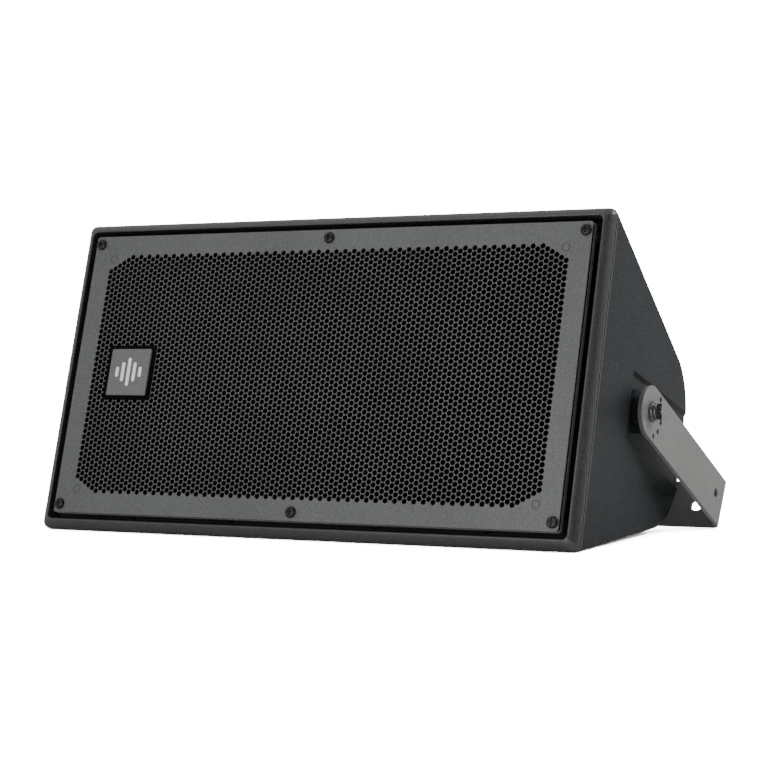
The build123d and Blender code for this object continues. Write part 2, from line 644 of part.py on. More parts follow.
# ---------------------------------------------------------------- horn and compression driver
HORN_WALL = 3.0
HORN_NECK_Y, HORN_NECK_HALF = 56.0, 38.0
HORN_MOUTH_CORNER_R, HORN_NECK_CORNER_R = 11.0, 13.0
HORN_FLANGE_CORNER_R = 6.0
NEAR_ROUND = 0.1              # a rounded square this close to a circle still has four sides
THROAT_FLANGE_R, THROAT_FLANGE_THICK = 38.0, 6.0
DRIVER_BOLTS = [(HORN_X + dx, dz) for dx, dz in around(3, 30.0, 90.0)]
DRIVER_BOLT_R = 3.0
DRIVER_BOLT_HEAD = (5.0, 6.0)
DRIVER_BOLT_LEN = 11.0
HF_PLATE_R = 45.0
HF_PLATE_BACK_Y = THROAT_Y + 7.0
HF_TOP_Y = 125.0
HF_CLAMP_Y = 131.0
HF_COVER_Y = 133.0
HF_END_Y = 151.0
HF_MAGNET_INNER_R = 27.0
HF_TOP_PLATE_R = (44.0, 22.9)
HF_CLAMP_R = (34.5, 26.5)
POLE_R = 21.4
DOME_R, DOME_HEIGHT, DOME_THICK = 22.4, 8.4, 0.4
DOME_INNER_R = 21.9
dome_y = HF_CLAMP_Y + 1.2
dome_crown_y = dome_y + DOME_HEIGHT
throat_flange_y = THROAT_Y - THROAT_FLANGE_THICK


def horn_section(half, corner, y):
    """Rounded square across the horn's axis at depth y."""
    return along_y(HORN_X, y) * RectangleRounded(2 * half, 2 * half, corner)


def horn_body(wall):
    """The flare's inside when wall is zero, or its outside."""
    throat_r = THROAT_R + wall
    return loft([
        horn_section(HORN_MOUTH_HALF + wall, HORN_MOUTH_CORNER_R + wall, DRIVER_FACE_Y),
        horn_section(HORN_NECK_HALF + wall, HORN_NECK_CORNER_R + wall, HORN_NECK_Y),
        horn_section(throat_r, throat_r - NEAR_ROUND, throat_flange_y),
    ], ruled=True)


def make_horn():
    """Square flare to a round throat, with its mounting flange and driver flange."""
    flange = slab(
        HORN_FLANGE_HALF, HORN_FLANGE_HALF, DRIVER_FACE_Y, DRIVER_SEAT_Y, HORN_X,
        corner=HORN_FLANGE_CORNER_R,
    )
    throat_flange = disc(THROAT_FLANGE_R, throat_flange_y, THROAT_Y, HORN_X)
    body = fuse(horn_body(HORN_WALL), flange, throat_flange) - horn_body(0.0)
    body = drill(body, [(HORN_X, 0)], THROAT_R, throat_flange_y, THROAT_Y)
    body = drill(body, HORN_SCREWS, DRIVER_HOLE_R, DRIVER_FACE_Y, DRIVER_SEAT_Y)
    return drill(body, DRIVER_BOLTS, DRIVER_BOLT_R + THREAD_GAP, throat_flange_y, THROAT_Y)


add("horn_flare", make_horn())
horn_gasket = slab(
    HORN_FLANGE_HALF, HORN_FLANGE_HALF, DRIVER_SEAT_Y, BAFFLE_FRONT_Y, HORN_X,
    corner=HORN_FLANGE_CORNER_R,
)
horn_gasket = horn_gasket - slab(
    HORN_HOLE_HALF, HORN_HOLE_HALF, DRIVER_SEAT_Y - OVERCUT, BAFFLE_FRONT_Y + OVERCUT, HORN_X,
    corner=HORN_HOLE_CORNER_R,
)
add("horn_gasket", drill(horn_gasket, HORN_SCREWS, DRIVER_HOLE_R, DRIVER_SEAT_Y, BAFFLE_FRONT_Y))

hf_plate = disc(HF_PLATE_R, THROAT_Y, HF_PLATE_BACK_Y, HORN_X)
hf_plate = hf_plate + disc(POLE_R, HF_PLATE_BACK_Y, HF_CLAMP_Y, HORN_X)
hf_plate = drill(hf_plate, [(HORN_X, 0)], THROAT_R, THROAT_Y, HF_CLAMP_Y)
add("hf_pole_plate", drill(
    hf_plate, DRIVER_BOLTS, DRIVER_BOLT_R + THREAD_GAP, THROAT_Y, HF_PLATE_BACK_Y
))
driver_bolt_head_r, driver_bolt_head_h = DRIVER_BOLT_HEAD
add("hf_driver_bolts", *[
    disc(driver_bolt_head_r, throat_flange_y - driver_bolt_head_h, throat_flange_y, x, z)
    + disc(DRIVER_BOLT_R, throat_flange_y, throat_flange_y + DRIVER_BOLT_LEN, x, z)
    for x, z in DRIVER_BOLTS
])
PLUG_PROFILE = [(0, THROAT_Y + 8), (4, THROAT_Y + 8), (9.5, HF_CLAMP_Y), (0, HF_CLAMP_Y)]
FIN_LEN = THROAT_R - 0.02
FIN_HALF = 0.8
fin = block((0, FIN_LEN), (HF_CLAMP_Y - 8, HF_CLAMP_Y - 1), (-FIN_HALF, FIN_HALF))
plug = turned(PLUG_PROFILE, HORN_X)
for angle in (0, 120, 240):
    plug = plug + Pos(HORN_X, 0, 0) * Rot(0, angle, 0) * fin
add("hf_phase_plug", plug)
add("hf_magnet", ring(HF_PLATE_R, HF_MAGNET_INNER_R, HF_PLATE_BACK_Y, HF_TOP_Y, HORN_X))
add("hf_top_plate", ring(*HF_TOP_PLATE_R, HF_TOP_Y, HF_CLAMP_Y, HORN_X))
add("hf_clamp_ring", ring(*HF_CLAMP_R, HF_CLAMP_Y, HF_COVER_Y, HORN_X))
dome = [
    dome_arc(DOME_R, dome_y, dome_crown_y),
    Line((0, dome_crown_y), (0, dome_crown_y - DOME_THICK)),
    dome_arc(DOME_INNER_R, dome_y, dome_crown_y - DOME_THICK, inwards=False),
    Line((DOME_INNER_R, dome_y), (DOME_R, dome_y)),
]
add("hf_diaphragm", turned_edges(dome, HORN_X))
add("hf_voice_coil", ring(DOME_R, DOME_INNER_R, HF_CLAMP_Y - 5, dome_y, HORN_X))
add("hf_suspension", turned([
    (DOME_R + 0.05, dome_y), (24.4, dome_y + 1.0), (26.4, dome_y), (26.4, dome_y + 0.3),
    (24.4, dome_y + 1.3), (DOME_R + 0.05, dome_y + 0.3),
], HORN_X))
COVER_PROFILE = [
    (0, HF_END_Y), (40, HF_END_Y), (44, HF_END_Y - 4), (44, HF_CLAMP_Y), (35, HF_CLAMP_Y),
    (35, HF_END_Y - 8), (0, HF_END_Y - 4),
]
COVER_SCREWS = [(HORN_X + dx, dz) for dx, dz in around(4, 39.5, 45.0)]
COVER_SCREW_R = 1.5
COVER_SCREW_HEAD = (2.7, 2.0)
cover_head_r, cover_head_h = COVER_SCREW_HEAD
cover = turned(COVER_PROFILE, HORN_X)
add("hf_rear_cover", drill(cover, COVER_SCREWS, COVER_SCREW_R + THREAD_GAP, HF_CLAMP_Y, HF_END_Y))
add("hf_cover_screws", *[
    disc(cover_head_r, HF_END_Y, HF_END_Y + cover_head_h, x, z)
    + disc(COVER_SCREW_R, HF_CLAMP_Y + 0.2, HF_END_Y, x, z)
    for x, z in COVER_SCREWS
])

# ---------------------------------------------------------------- crossover on the bottom panel
CROSSOVER_Y = 152.0
BOARD_HALF = (75.0, 34.0)
STANDOFF_H = 8.0
STANDOFF_R, STANDOFF_BORE_R, STANDOFF_FLOOR = 3.5, 1.6, 1.0
BOARD_THICK = 1.6
BOARD_HOLE_R = 1.7
BOARD_SCREW_R, BOARD_SCREW_LEN = 1.5, 7.0
BOARD_SCREW_HEAD = (3.0, 2.0)
INDUCTOR_R, INDUCTOR_BORE_R, INDUCTOR_H = 16.0, 7.0, 18.0
INDUCTORS = [(-44.0, 4.0), (-6.0, -12.0)]
CAPACITOR_X = 34.0
CAPACITORS = [(-18.0, 15.0, 9.5), (6.0, 15.0, 9.5), (24.0, 12.0, 6.5)]   # y, half length, radius
RESISTORS = [(-44.0, 25.0), (-10.0, 25.0)]
RESISTOR_SIZE = (24.0, 10.0, 10.0)
WADDING_Y = 142.0
WADDING_SIZE = (360.0, 84.0, 18.0)
WADDING_GAP = 0.3
BOARD_TOP = STANDOFF_H + BOARD_THICK
CORNER_HOLES = [(sx * 69.0, sy * 28.0) for sx in (-1, 1) for sy in (-1, 1)]


def on_panel(y, upside=1.0):
    """Location on the inner face of the bottom panel (or the top one with upside = -1)."""
    z = -upside * (panel_z(y) - WALL / cos(SLOPE_ANGLE))
    normal = (0, -sin(SLOPE_ANGLE), upside * cos(SLOPE_ANGLE))
    return Location(Plane(origin=(0, y, z), x_dir=(1, 0, 0), z_dir=normal))


def upright(radius, low, high, x, y):
    """Cylinder standing on the bottom panel, in the panel's own frame."""
    return Pos(x, y, (low + high) / 2) * Cylinder(radius, high - low)


def standoff(x, y):
    """Round pillar with a blind bore for the board's screw."""
    bore = upright(STANDOFF_BORE_R, STANDOFF_FLOOR, STANDOFF_H, x, y)
    return upright(STANDOFF_R, 0.0, STANDOFF_H, x, y) - bore


def board_screw(x, y):
    """Short machine screw through the board into its standoff."""
    head_r, head_h = BOARD_SCREW_HEAD
    head = upright(head_r, BOARD_TOP, BOARD_TOP + head_h, x, y)
    return head + upright(BOARD_SCREW_R, BOARD_TOP - BOARD_SCREW_LEN, BOARD_TOP, x, y)


def inductor(x, y):
    """Air-cored coil standing on the board."""
    core = upright(INDUCTOR_BORE_R, BOARD_TOP - OVERCUT, BOARD_TOP + INDUCTOR_H + OVERCUT, x, y)
    return upright(INDUCTOR_R, BOARD_TOP, BOARD_TOP + INDUCTOR_H, x, y) - core


def capacitor(y, half_len, radius):
    """Round can lying on the board."""
    return Pos(CAPACITOR_X, y, BOARD_TOP + radius) * Rot(0, 90, 0) * Cylinder(radius, 2 * half_len)


def resistor(x, y):
    """Square ceramic resistor lying on the board."""
    return Pos(x, y, BOARD_TOP + RESISTOR_SIZE[2] / 2) * Box(*RESISTOR_SIZE)


bottom = on_panel(CROSSOVER_Y)
board = Pos(0, 0, STANDOFF_H + BOARD_THICK / 2) * Box(2 * BOARD_HALF[0], 2 * BOARD_HALF[1], BOARD_THICK)
for x, y in CORNER_HOLES:
    board = board - upright(BOARD_HOLE_R, STANDOFF_H - OVERCUT, BOARD_TOP + OVERCUT, x, y)
add("crossover_board", bottom * board)
add("crossover_standoffs", *[bottom * standoff(*place) for place in CORNER_HOLES])
add("crossover_screws", *[bottom * board_screw(*place) for place in CORNER_HOLES])
add("crossover_inductors", *[bottom * inductor(*place) for place in INDUCTORS])
add("crossover_capacitors", *[bottom * capacitor(*row) for row in CAPACITORS])
add("crossover_resistors", *[bottom * resistor(*place) for place in RESISTORS])
wadding = Pos(0, 0, WADDING_SIZE[2] / 2 + WADDING_GAP) * Box(*WADDING_SIZE)
add("acoustic_wadding", on_panel(WADDING_Y, -1.0) * wadding)

# ---------------------------------------------------------------- terminal plate at the rear
TERMINAL_CORNER_R = 4.0
PLATE_Y = RECESS_FLOOR_Y + 1.5
PLATE_BACK_Y = PLATE_Y + 3.0
TERMINAL_SCREW_HEAD = (2.8, 2.0)
BLOCK_HALF = (20.0, 9.0)
BLOCK_DEPTH = 14.0
BLOCK_HOLE_R, BLOCK_HOLE_DEPTH, BLOCK_HOLE_Z = 2.6, 8.0, 3.0
BLOCK_HOLES_X = (-15.0, -5.0, 5.0, 15.0)
GLANDS = [(-36.0, 0.0), (36.0, 0.0)]
GLAND_R = 10.0
GLAND_HEX_R = 13.0
CABLE_R = 4.5
GLAND_INNER_LEN = 9.0         # threaded stub behind the plate
LOCKNUT_THICK = 6.0
GLAND_HEX_END = PLATE_BACK_Y + 6.0
SEAL_Y = PLATE_BACK_Y + 7.0
SEAL_R = 7.9
GLAND_SEAT_R = 8.0
GLAND_BORE_R = 7.0
GLAND_BODY_END = PLATE_BACK_Y + 15.0
SEAL_END = GLAND_BODY_END + 2.0
CAP_HEX_END = PLATE_BACK_Y + 17.0
CAP_BORE_END = GLAND_BODY_END + 2.5
CAP_NOSE_R, CAP_TIP_R, CAP_MOUTH_R = 11.0, 8.5, 6.5
GLAND_END = PLATE_BACK_Y + 23.0


def hexagon(radius, y_front, y_back, x=0.0, z=0.0):
    """Hexagonal bar along Y, given its corner radius."""
    return along_y(x, y_front, z) * extrude(RegularPolygon(radius, 6), y_back - y_front)


def gland_body(x):
    """Gland body: threaded stub, hexagon, and the threaded sleeve that holds the seal."""
    body = hexagon(GLAND_HEX_R, PLATE_BACK_Y, GLAND_HEX_END, x)
    body = body + disc(GLAND_R, PLATE_Y - GLAND_INNER_LEN, PLATE_BACK_Y, x)
    body = body + disc(GLAND_R, GLAND_HEX_END, GLAND_BODY_END, x)
    body = body - disc(GLAND_BORE_R, PLATE_Y - GLAND_INNER_LEN - OVERCUT, SEAL_Y, x)
    return body - disc(GLAND_SEAT_R, SEAL_Y, GLAND_BODY_END + OVERCUT, x)


def gland_cap(x):
    """Hexagonal clamping nut with a tapered nose."""
    cap_solid = hexagon(GLAND_HEX_R, SEAL_Y, CAP_HEX_END, x)
    cap_solid = cap_solid + turned([
        (0, CAP_HEX_END), (CAP_NOSE_R, CAP_HEX_END), (CAP_TIP_R, GLAND_END), (0, GLAND_END)
    ], x)
    cap_solid = cap_solid - disc(GLAND_R + THREAD_GAP, SEAL_Y - OVERCUT, CAP_BORE_END, x)
    return cap_solid - disc(CAP_MOUTH_R, SEAL_Y - OVERCUT, GLAND_END + OVERCUT, x)


def gland_locknut(x):
    """Thin hexagon nut behind the plate."""
    nut = hexagon(GLAND_HEX_R, PLATE_Y - LOCKNUT_THICK, PLATE_Y, x)
    return drill(nut, [(x, 0)], GLAND_R + THREAD_GAP, PLATE_Y - LOCKNUT_THICK, PLATE_Y)


TERMINAL_HOLE_R = TERMINAL_SCREW_R + THREAD_GAP
terminal_gasket = slab(*TERMINAL_HALF, RECESS_FLOOR_Y, PLATE_Y, corner=TERMINAL_CORNER_R)
terminal_gasket = terminal_gasket - slab(
    *WINDOW_HALF, RECESS_FLOOR_Y - OVERCUT, PLATE_Y + OVERCUT, corner=RECESS_CORNER_R
)
add("terminal_gasket", drill(
    terminal_gasket, TERMINAL_SCREWS, TERMINAL_HOLE_R, RECESS_FLOOR_Y, PLATE_Y
))
plate = slab(*TERMINAL_HALF, PLATE_Y, PLATE_BACK_Y, corner=TERMINAL_CORNER_R)
plate = drill(plate, TERMINAL_SCREWS, TERMINAL_HOLE_R, PLATE_Y, PLATE_BACK_Y)
add("terminal_plate", drill(plate, GLANDS, GLAND_R + THREAD_GAP, PLATE_Y, PLATE_BACK_Y))
terminal_head_r, terminal_head_h = TERMINAL_SCREW_HEAD
add("terminal_screws", *[
    disc(terminal_head_r, PLATE_BACK_Y, PLATE_BACK_Y + terminal_head_h, x, z)
    + disc(TERMINAL_SCREW_R, PAD_FRONT_Y + OVERCUT + 0.5, PLATE_BACK_Y, x, z)
    for x, z in TERMINAL_SCREWS
])
add("gland_bodies", *[gland_body(x) for x, _ in GLANDS])
add("gland_seals", *[ring(SEAL_R, CABLE_R, SEAL_Y, SEAL_END, x) for x, _ in GLANDS])
add("gland_caps", *[gland_cap(x) for x, _ in GLANDS])
add("gland_locknuts", *[gland_locknut(x) for x, _ in GLANDS])
block_half_x, block_half_z = BLOCK_HALF
terminal_block = block(
    (-block_half_x, block_half_x), (PLATE_Y - BLOCK_DEPTH, PLATE_Y), (-block_half_z, block_half_z)
)
for x in BLOCK_HOLES_X:
    front_y = PLATE_Y - BLOCK_DEPTH
    terminal_block = terminal_block - disc(
        BLOCK_HOLE_R, front_y - OVERCUT, front_y + BLOCK_HOLE_DEPTH, x, BLOCK_HOLE_Z
    )
add("terminal_block", terminal_block)

INSERT_FIT = 0.05             # radial gap between a moulded-in insert and its bore
REAR_INSERT_LEN = 18.0


def rear_insert(x):
    """Round threaded insert, flush with the flat at the bottom of its boss."""
    body = disc(REAR_INSERT_R - INSERT_FIT, REAR_FACE_Y - REAR_INSERT_LEN, REAR_FACE_Y, x)
    return body - disc(REAR_THREAD_R, REAR_FACE_Y - REAR_THREAD_DEPTH, REAR_FACE_Y + OVERCUT, x)


add("rear_inserts", rear_insert(-REAR_INSERT_X), rear_insert(REAR_INSERT_X))

# ---------------------------------------------------------------- pivots and bracket
BOLT_R = 4.0
BOLT_TIP_X = 226.0
INSERT_FLOOR = 2.0            # closed end of the pivot insert
SPACER_R = 12.0
WASHER = (8.5, 1.6)           # outer radius and thickness
SPRING_WASHER = (7.4, 2.1)
WASHER_HOLE_R = BOLT_R + 0.2
SPLIT_WIDTH = 0.9
SPLIT_ANGLE = 20.0
BOLT_HEAD = (7.5, 5.3)        # corner radius and height of the 13 mm hexagon
HEAD_TURN = 10.0
HEAD_CHAMFER_ANGLE = 36.0
HEAD_CONE_R = 10.5


def washer(size, x_from):
    """Flat ring on the pivot axis, from x_from outwards."""
    outer_r, thick = size
    hole = bar(WASHER_HOLE_R, x_from - OVERCUT, x_from + thick + OVERCUT)
    return bar(outer_r, x_from, x_from + thick) - hole


def split_washer(x_from):
    """Spring washer with its slanted split."""
    split = Box(SPRING_WASHER[0], SPLIT_WIDTH, SPRING_WASHER[0])
    split = Rot(0, 0, SPLIT_ANGLE) * split
    split = Pos(x_from + SPRING_WASHER[1] / 2, PIVOT_Y, SPRING_WASHER[0]) * split
    return washer(SPRING_WASHER, x_from) - split


def pivot_bolt(x_from):
    """Hexagon bolt with a chamfered head that seats at x_from."""
    corner_r, height = BOLT_HEAD
    seat = Location(Plane(origin=(x_from, PIVOT_Y, 0), x_dir=(0, 1, 0), z_dir=(1, 0, 0)))
    head = seat * Rot(0, 0, HEAD_TURN) * extrude(RegularPolygon(corner_r, 6), height)
    cone_solid = seat * extrude(Circle(HEAD_CONE_R), height, taper=HEAD_CHAMFER_ANGLE)
    return (head & cone_solid) + bar(BOLT_R, BOLT_TIP_X, x_from)


inner_washer_x = ARM_OUTER_X + CLAMP_GAP
outer_washer_x = inner_washer_x + WASHER[1]
spring_washer_x = outer_washer_x + WASHER[1]
bolt_head_x = spring_washer_x + SPRING_WASHER[1]
spacer = (SPACER_R, ARM_INNER_X - CLAMP_GAP - BOSS_FACE_X)
insert = bar(INSERT_R - INSERT_FIT, BOSS_INNER_X, BOSS_FACE_X)
insert = insert - bar(BOLT_R + INSERT_FIT, BOSS_INNER_X + INSERT_FLOOR, BOSS_FACE_X + OVERCUT)
add("pivot_inserts", *both_sides(insert))
add("pivot_spacers", *both_sides(washer(spacer, BOSS_FACE_X)))
inner_washers = both_sides(washer(WASHER, inner_washer_x))
add("pivot_washers", *inner_washers, *both_sides(washer(WASHER, outer_washer_x)))
add("pivot_spring_washers", *both_sides(split_washer(spring_washer_x)))
add("pivot_bolts", *both_sides(pivot_bolt(bolt_head_x)))


def through_arms(radius, y, z=0.0):
    """Cutter for a round hole through both arms of the bracket."""
    return bar(radius, -ARM_OUTER_X - OVERCUT, ARM_OUTER_X + OVERCUT, y, z)


def make_bracket():
    """U-shaped strap, arms along +Y from the pivot, bent round the back of the cabinet."""
    inner_y = BRACKET_REACH - ARM_THICK
    strap = block((-ARM_OUTER_X, ARM_OUTER_X), (-ARM_HALF, BRACKET_REACH), (-ARM_HALF, ARM_HALF))
    strap = fillet(strap.edges().filter_by(Axis.Z).group_by(Axis.Y)[-1], BEND_R)
    inside = block((-ARM_INNER_X, ARM_INNER_X), (-ARM_WIDTH, inner_y), (-ARM_WIDTH, ARM_WIDTH))
    inside = fillet(inside.edges().filter_by(Axis.Z).group_by(Axis.Y)[-1], BEND_R - ARM_THICK)
    strap = strap - inside
    beyond_x, beyond_y = ARM_OUTER_X + OVERCUT, BRACKET_REACH + OVERCUT
    side_view = block((-beyond_x, beyond_x), (0, beyond_y), (-ARM_HALF, ARM_HALF))
    strap = strap & (side_view + through_arms(ARM_HALF, 0.0))
    strip_edges = [
        edge for edge in strap.edges()
        if abs(edge.center().Y) > THREAD_GAP
        and (abs(edge.center().Z) > ARM_HALF - THREAD_GAP or edge.center().Y < -ARM_HALF / 2)
    ]
    strap = fillet(strip_edges, STRAP_EDGE_R)
    strap = strap - through_arms(BOLT_R + BEARING_GAP, 0.0)
    for step in (-2, -1, 0, 1, 2):
        angle = radians(step * LOCK_STEP)
        strap = strap - through_arms(LOCK_HOLE_R, LOCK_R * cos(angle), LOCK_R * sin(angle))
    strap = strap - through_arms(ARM_HOLE_R, ARM_HOLE_REACH, ARM_HOLE_RISE)
    ends = [(sx * x, z) for sx in (-1, 1) for x, z in ((BASE_HOLE_X, BASE_HOLE_Z), (MID_HOLE_X, 0.0))]
    strap = drill(strap, ends, BASE_HOLE_R, inner_y, BRACKET_REACH)
    return drill(strap, [(0.0, 0.0)], CENTRE_HOLE_R, inner_y, BRACKET_REACH)


add("tilt_bracket", Pos(0, PIVOT_Y, 0) * Rot(-BRACKET_ANGLE, 0, 0) * make_bracket())

# ---------------------------------------------------------------- stance
# The front bottom edge is an arc about EDGE_CENTRE; the bracket's heel is the lowest corner of
# its base plate. The floor touches both, which fixes how far the cabinet leans back.
edge_centre_y = RIM_FRONT_Y + RIM_ROUND_R
edge_centre_z = -(panel_z(edge_centre_y) - RIM_ROUND_R / cos(SLOPE_ANGLE))
arm = radians(BRACKET_ANGLE)
heel_y = PIVOT_Y + BRACKET_REACH * cos(arm) - ARM_HALF * sin(arm)
heel_z = -BRACKET_REACH * sin(arm) - ARM_HALF * cos(arm)
run, rise = heel_y - edge_centre_y, heel_z - edge_centre_z
LEAN = degrees(atan2(rise, run) + asin(RIM_ROUND_R / hypot(run, rise)))


lean_rotation = Rot(-LEAN, 0, 0)
assembly = Compound([lean_rotation * solid for solids in nodes.values() for solid in solids])
limits = assembly.bounding_box()
ORIGIN = (0.0, (limits.min.Y + limits.max.Y) / 2, limits.min.Z)
to_row = Pos(0, -ORIGIN[1], -ORIGIN[2]) * lean_rotation

for name, solids in nodes.items():
    placed = [to_row * solid for solid in solids]
    export_step(placed[0] if len(placed) == 1 else Compound(placed), f"parts/{name}.step")

print(f"{len(nodes)} nodes, lean {LEAN:.3f} degrees, size {limits.size}, origin shift {ORIGIN}")
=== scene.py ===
import json
from math import cos, pi, radians, sin, sqrt, tau

import bmesh
import bpy
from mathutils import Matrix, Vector
from mathutils.geometry import delaunay_2d_cdt


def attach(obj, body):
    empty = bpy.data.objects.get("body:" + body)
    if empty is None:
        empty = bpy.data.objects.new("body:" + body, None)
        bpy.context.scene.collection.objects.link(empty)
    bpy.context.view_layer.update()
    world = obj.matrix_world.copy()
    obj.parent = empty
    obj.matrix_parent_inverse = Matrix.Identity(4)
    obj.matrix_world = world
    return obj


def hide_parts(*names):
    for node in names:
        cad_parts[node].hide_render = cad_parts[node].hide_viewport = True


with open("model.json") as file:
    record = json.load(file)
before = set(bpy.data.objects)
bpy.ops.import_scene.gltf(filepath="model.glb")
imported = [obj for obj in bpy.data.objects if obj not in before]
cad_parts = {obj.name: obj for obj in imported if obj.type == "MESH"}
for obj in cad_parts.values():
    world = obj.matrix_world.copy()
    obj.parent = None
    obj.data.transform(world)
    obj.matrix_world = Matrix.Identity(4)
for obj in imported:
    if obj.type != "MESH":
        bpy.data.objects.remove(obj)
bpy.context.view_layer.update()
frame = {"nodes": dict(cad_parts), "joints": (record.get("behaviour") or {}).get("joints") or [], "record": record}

MM = 0.001
WELD = 0.001 * MM             # vertices nearer than this count as one
ACROSS = Vector((1, 0, 0))


# ---------------------------------------------------------------- places from the frame
def joint(name):
    """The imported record's joint of that name."""
    return next(each for each in frame["joints"] if each["name"] == name)


FORWARD = Vector(joint("woofer_excursion")["axis"]).normalized()   # out of the grille
UP = FORWARD.cross(ACROSS)                                         # up along the grille
BACK = -FORWARD
PIVOT = Vector(joint("bracket_tilt")["pos_m"])


def corners(node):
    """The vertices of a CAD node, in the row frame."""
    return [vertex.co for vertex in frame["nodes"][node].data.vertices]


def reach(node, direction):
    """Lowest and highest place of a CAD node along a direction."""
    along = [direction.dot(place) for place in corners(node)]
    return min(along), max(along)


# ---------------------------------------------------------------- mesh helpers
def flat_piece(name, vertices, faces, body, slot, node):
    """A flat-shaded mesh object that rides on a body and stands for a CAD node."""
    mesh = bpy.data.meshes.new(name)
    mesh.from_pydata(vertices, [], faces)
    mesh.validate()
    mesh.polygons.foreach_set("use_smooth", [False] * len(mesh.polygons))
    made = bpy.data.objects.new(name, mesh)
    bpy.context.scene.collection.objects.link(made)
    made.data.materials.append(finish_of(slot))
    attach(made, body)
    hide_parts(node)


def soft_edges(made, width):
    """Rounds the sharp edges of a CAD node by a small width."""
    joined = made.modifiers.new("joined", "WELD")
    joined.merge_threshold = WELD
    bevel = made.modifiers.new("soft_edges", "BEVEL")
    bevel.width = width
    bevel.segments = 2
    bevel.limit_method = "ANGLE"
    bevel.angle_limit = radians(30.0)
    bevel.harden_normals = True


# ---------------------------------------------------------------- node materials
class Finish:
    """The node tree of one material, with short calls for what the finishes share."""

    def __init__(self, slot, roughness=0.5, metallic=0.0):
        self.material = bpy.data.materials.new(slot)
        self.material.use_nodes = True
        self.tree = self.material.node_tree
        self.shader = self.tree.nodes["Principled BSDF"]
        self.shader.inputs["Roughness"].default_value = roughness
        self.shader.inputs["Metallic"].default_value = metallic
        self.place = self.node("ShaderNodeTexCoord").outputs["Object"]

    def node(self, kind, **settings):
        made = self.tree.nodes.new(kind)
        for name, value in settings.items():
            setattr(made, name, value)
        return made

    def feed(self, made, **values):
        """Sets or links the named inputs of a node, and returns its first output."""
        for name, value in values.items():
            socket = made.inputs[name.replace("_", " ")]
            if isinstance(value, bpy.types.NodeSocket):
                self.tree.links.new(value, socket)
            else:
                socket.default_value = value
        return made.outputs[0]

    def noise(self, size, detail=2.0, roughness=0.55, place=None, distortion=0.0):
        """Cloudy pattern whose features are about size metres across."""
        made = self.node("ShaderNodeTexNoise")
        return self.feed(
            made, Vector=place or self.place, Scale=1 / size, Detail=detail,
            Roughness=roughness, Distortion=distortion,
        )

    def cells(self, size, feature="F1", place=None, randomness=1.0):
        """Cellular pattern whose cells are about size metres across."""
        made = self.node("ShaderNodeTexVoronoi", feature=feature)
        return self.feed(made, Vector=place or self.place, Scale=1 / size, Randomness=randomness)

    def math(self, operation, first, second=0.0, clamp=False):
        made = self.node("ShaderNodeMath", operation=operation, use_clamp=clamp)
        for socket, value in zip(made.inputs, (first, second)):
            if isinstance(value, bpy.types.NodeSocket):
                self.tree.links.new(value, socket)
            else:
                socket.default_value = value
        return made.outputs[0]

    def between(self, value, low, high, to_low=0.0, to_high=1.0, smooth=False):
        """value carried from the range low..high to to_low..to_high, and held there."""
        made = self.node("ShaderNodeMapRange", clamp=True)
        if smooth:
            made.interpolation_type = "SMOOTHSTEP"
        self.tree.links.new(value, made.inputs["Value"])
        for name, number in zip(("From Min", "From Max", "To Min", "To Max"), (low, high, to_low, to_high)):
            made.inputs[name].default_value = number
        return made.outputs[0]

    def mix(self, share, first, second, kind="MIX"):
        """Colour between first and second."""
        made = self.node("ShaderNodeMix", data_type="RGBA", blend_type=kind)
        for index, value in ((0, share), (6, first), (7, second)):
            socket = made.inputs[index]
            if isinstance(value, bpy.types.NodeSocket):
                self.tree.links.new(value, socket)
            elif index:
                socket.default_value = (*value, 1.0)
            else:
                socket.default_value = value
        return made.outputs[2]

    def along(self, direction, origin=Vector((0, 0, 0))):
        """Distance of the shaded point from origin along a direction, in metres."""
        made = self.node("ShaderNodeVectorMath", operation="DOT_PRODUCT")
        self.tree.links.new(self.place, made.inputs[0])
        made.inputs[1].default_value = direction
        return self.math("SUBTRACT", made.outputs["Value"], direction.dot(origin))

    def from_axis(self, origin, direction):
        """Distance of the shaded point from an axis, in metres."""
        moved = self.node("ShaderNodeVectorMath", operation="SUBTRACT")
        self.tree.links.new(self.place, moved.inputs[0])
        moved.inputs[1].default_value = origin
        crossed = self.node("ShaderNodeVectorMath", operation="CROSS_PRODUCT")
        self.tree.links.new(moved.outputs[0], crossed.inputs[0])
        crossed.inputs[1].default_value = direction
        length = self.node("ShaderNodeVectorMath", operation="LENGTH")
        self.tree.links.new(crossed.outputs[0], length.inputs[0])
        return length.outputs["Value"]

    def stretched(self, scale, turn=(0, 0, 0)):
        """The place, turned and scaled, for patterns that run one way."""
        made = self.node("ShaderNodeMapping")
        self.tree.links.new(self.place, made.inputs["Vector"])
        made.inputs["Rotation"].default_value = turn
        made.inputs["Scale"].default_value = scale
        return made.outputs[0]

    def edges(self, radius):
        """Normal rounded over the edges, and how near the shaded point is to one, 0 to 1."""
        bevel = self.node("ShaderNodeBevel", samples=6)
        bevel.inputs["Radius"].default_value = radius
        geometry = self.node("ShaderNodeNewGeometry")
        dot = self.node("ShaderNodeVectorMath", operation="DOT_PRODUCT")
        self.tree.links.new(bevel.outputs[0], dot.inputs[0])
        self.tree.links.new(geometry.outputs["Normal"], dot.inputs[1])
        return bevel.outputs[0], self.between(dot.outputs["Value"], 0.99, 0.75)

    def bump(self, height, depth, under=None):
        """Normal from a height pattern that is depth metres from its low to its high."""
        made = self.node("ShaderNodeBump")
        made.inputs["Distance"].default_value = depth
        made.inputs["Strength"].default_value = 1.0
        self.tree.links.new(height, made.inputs["Height"])
        if under is not None:
            self.tree.links.new(under, made.inputs["Normal"])
        return made.outputs[0]

    def set(self, **values):
        """Sets or links the shader's own inputs."""
        self.feed(self.shader, **values)
        return self.material


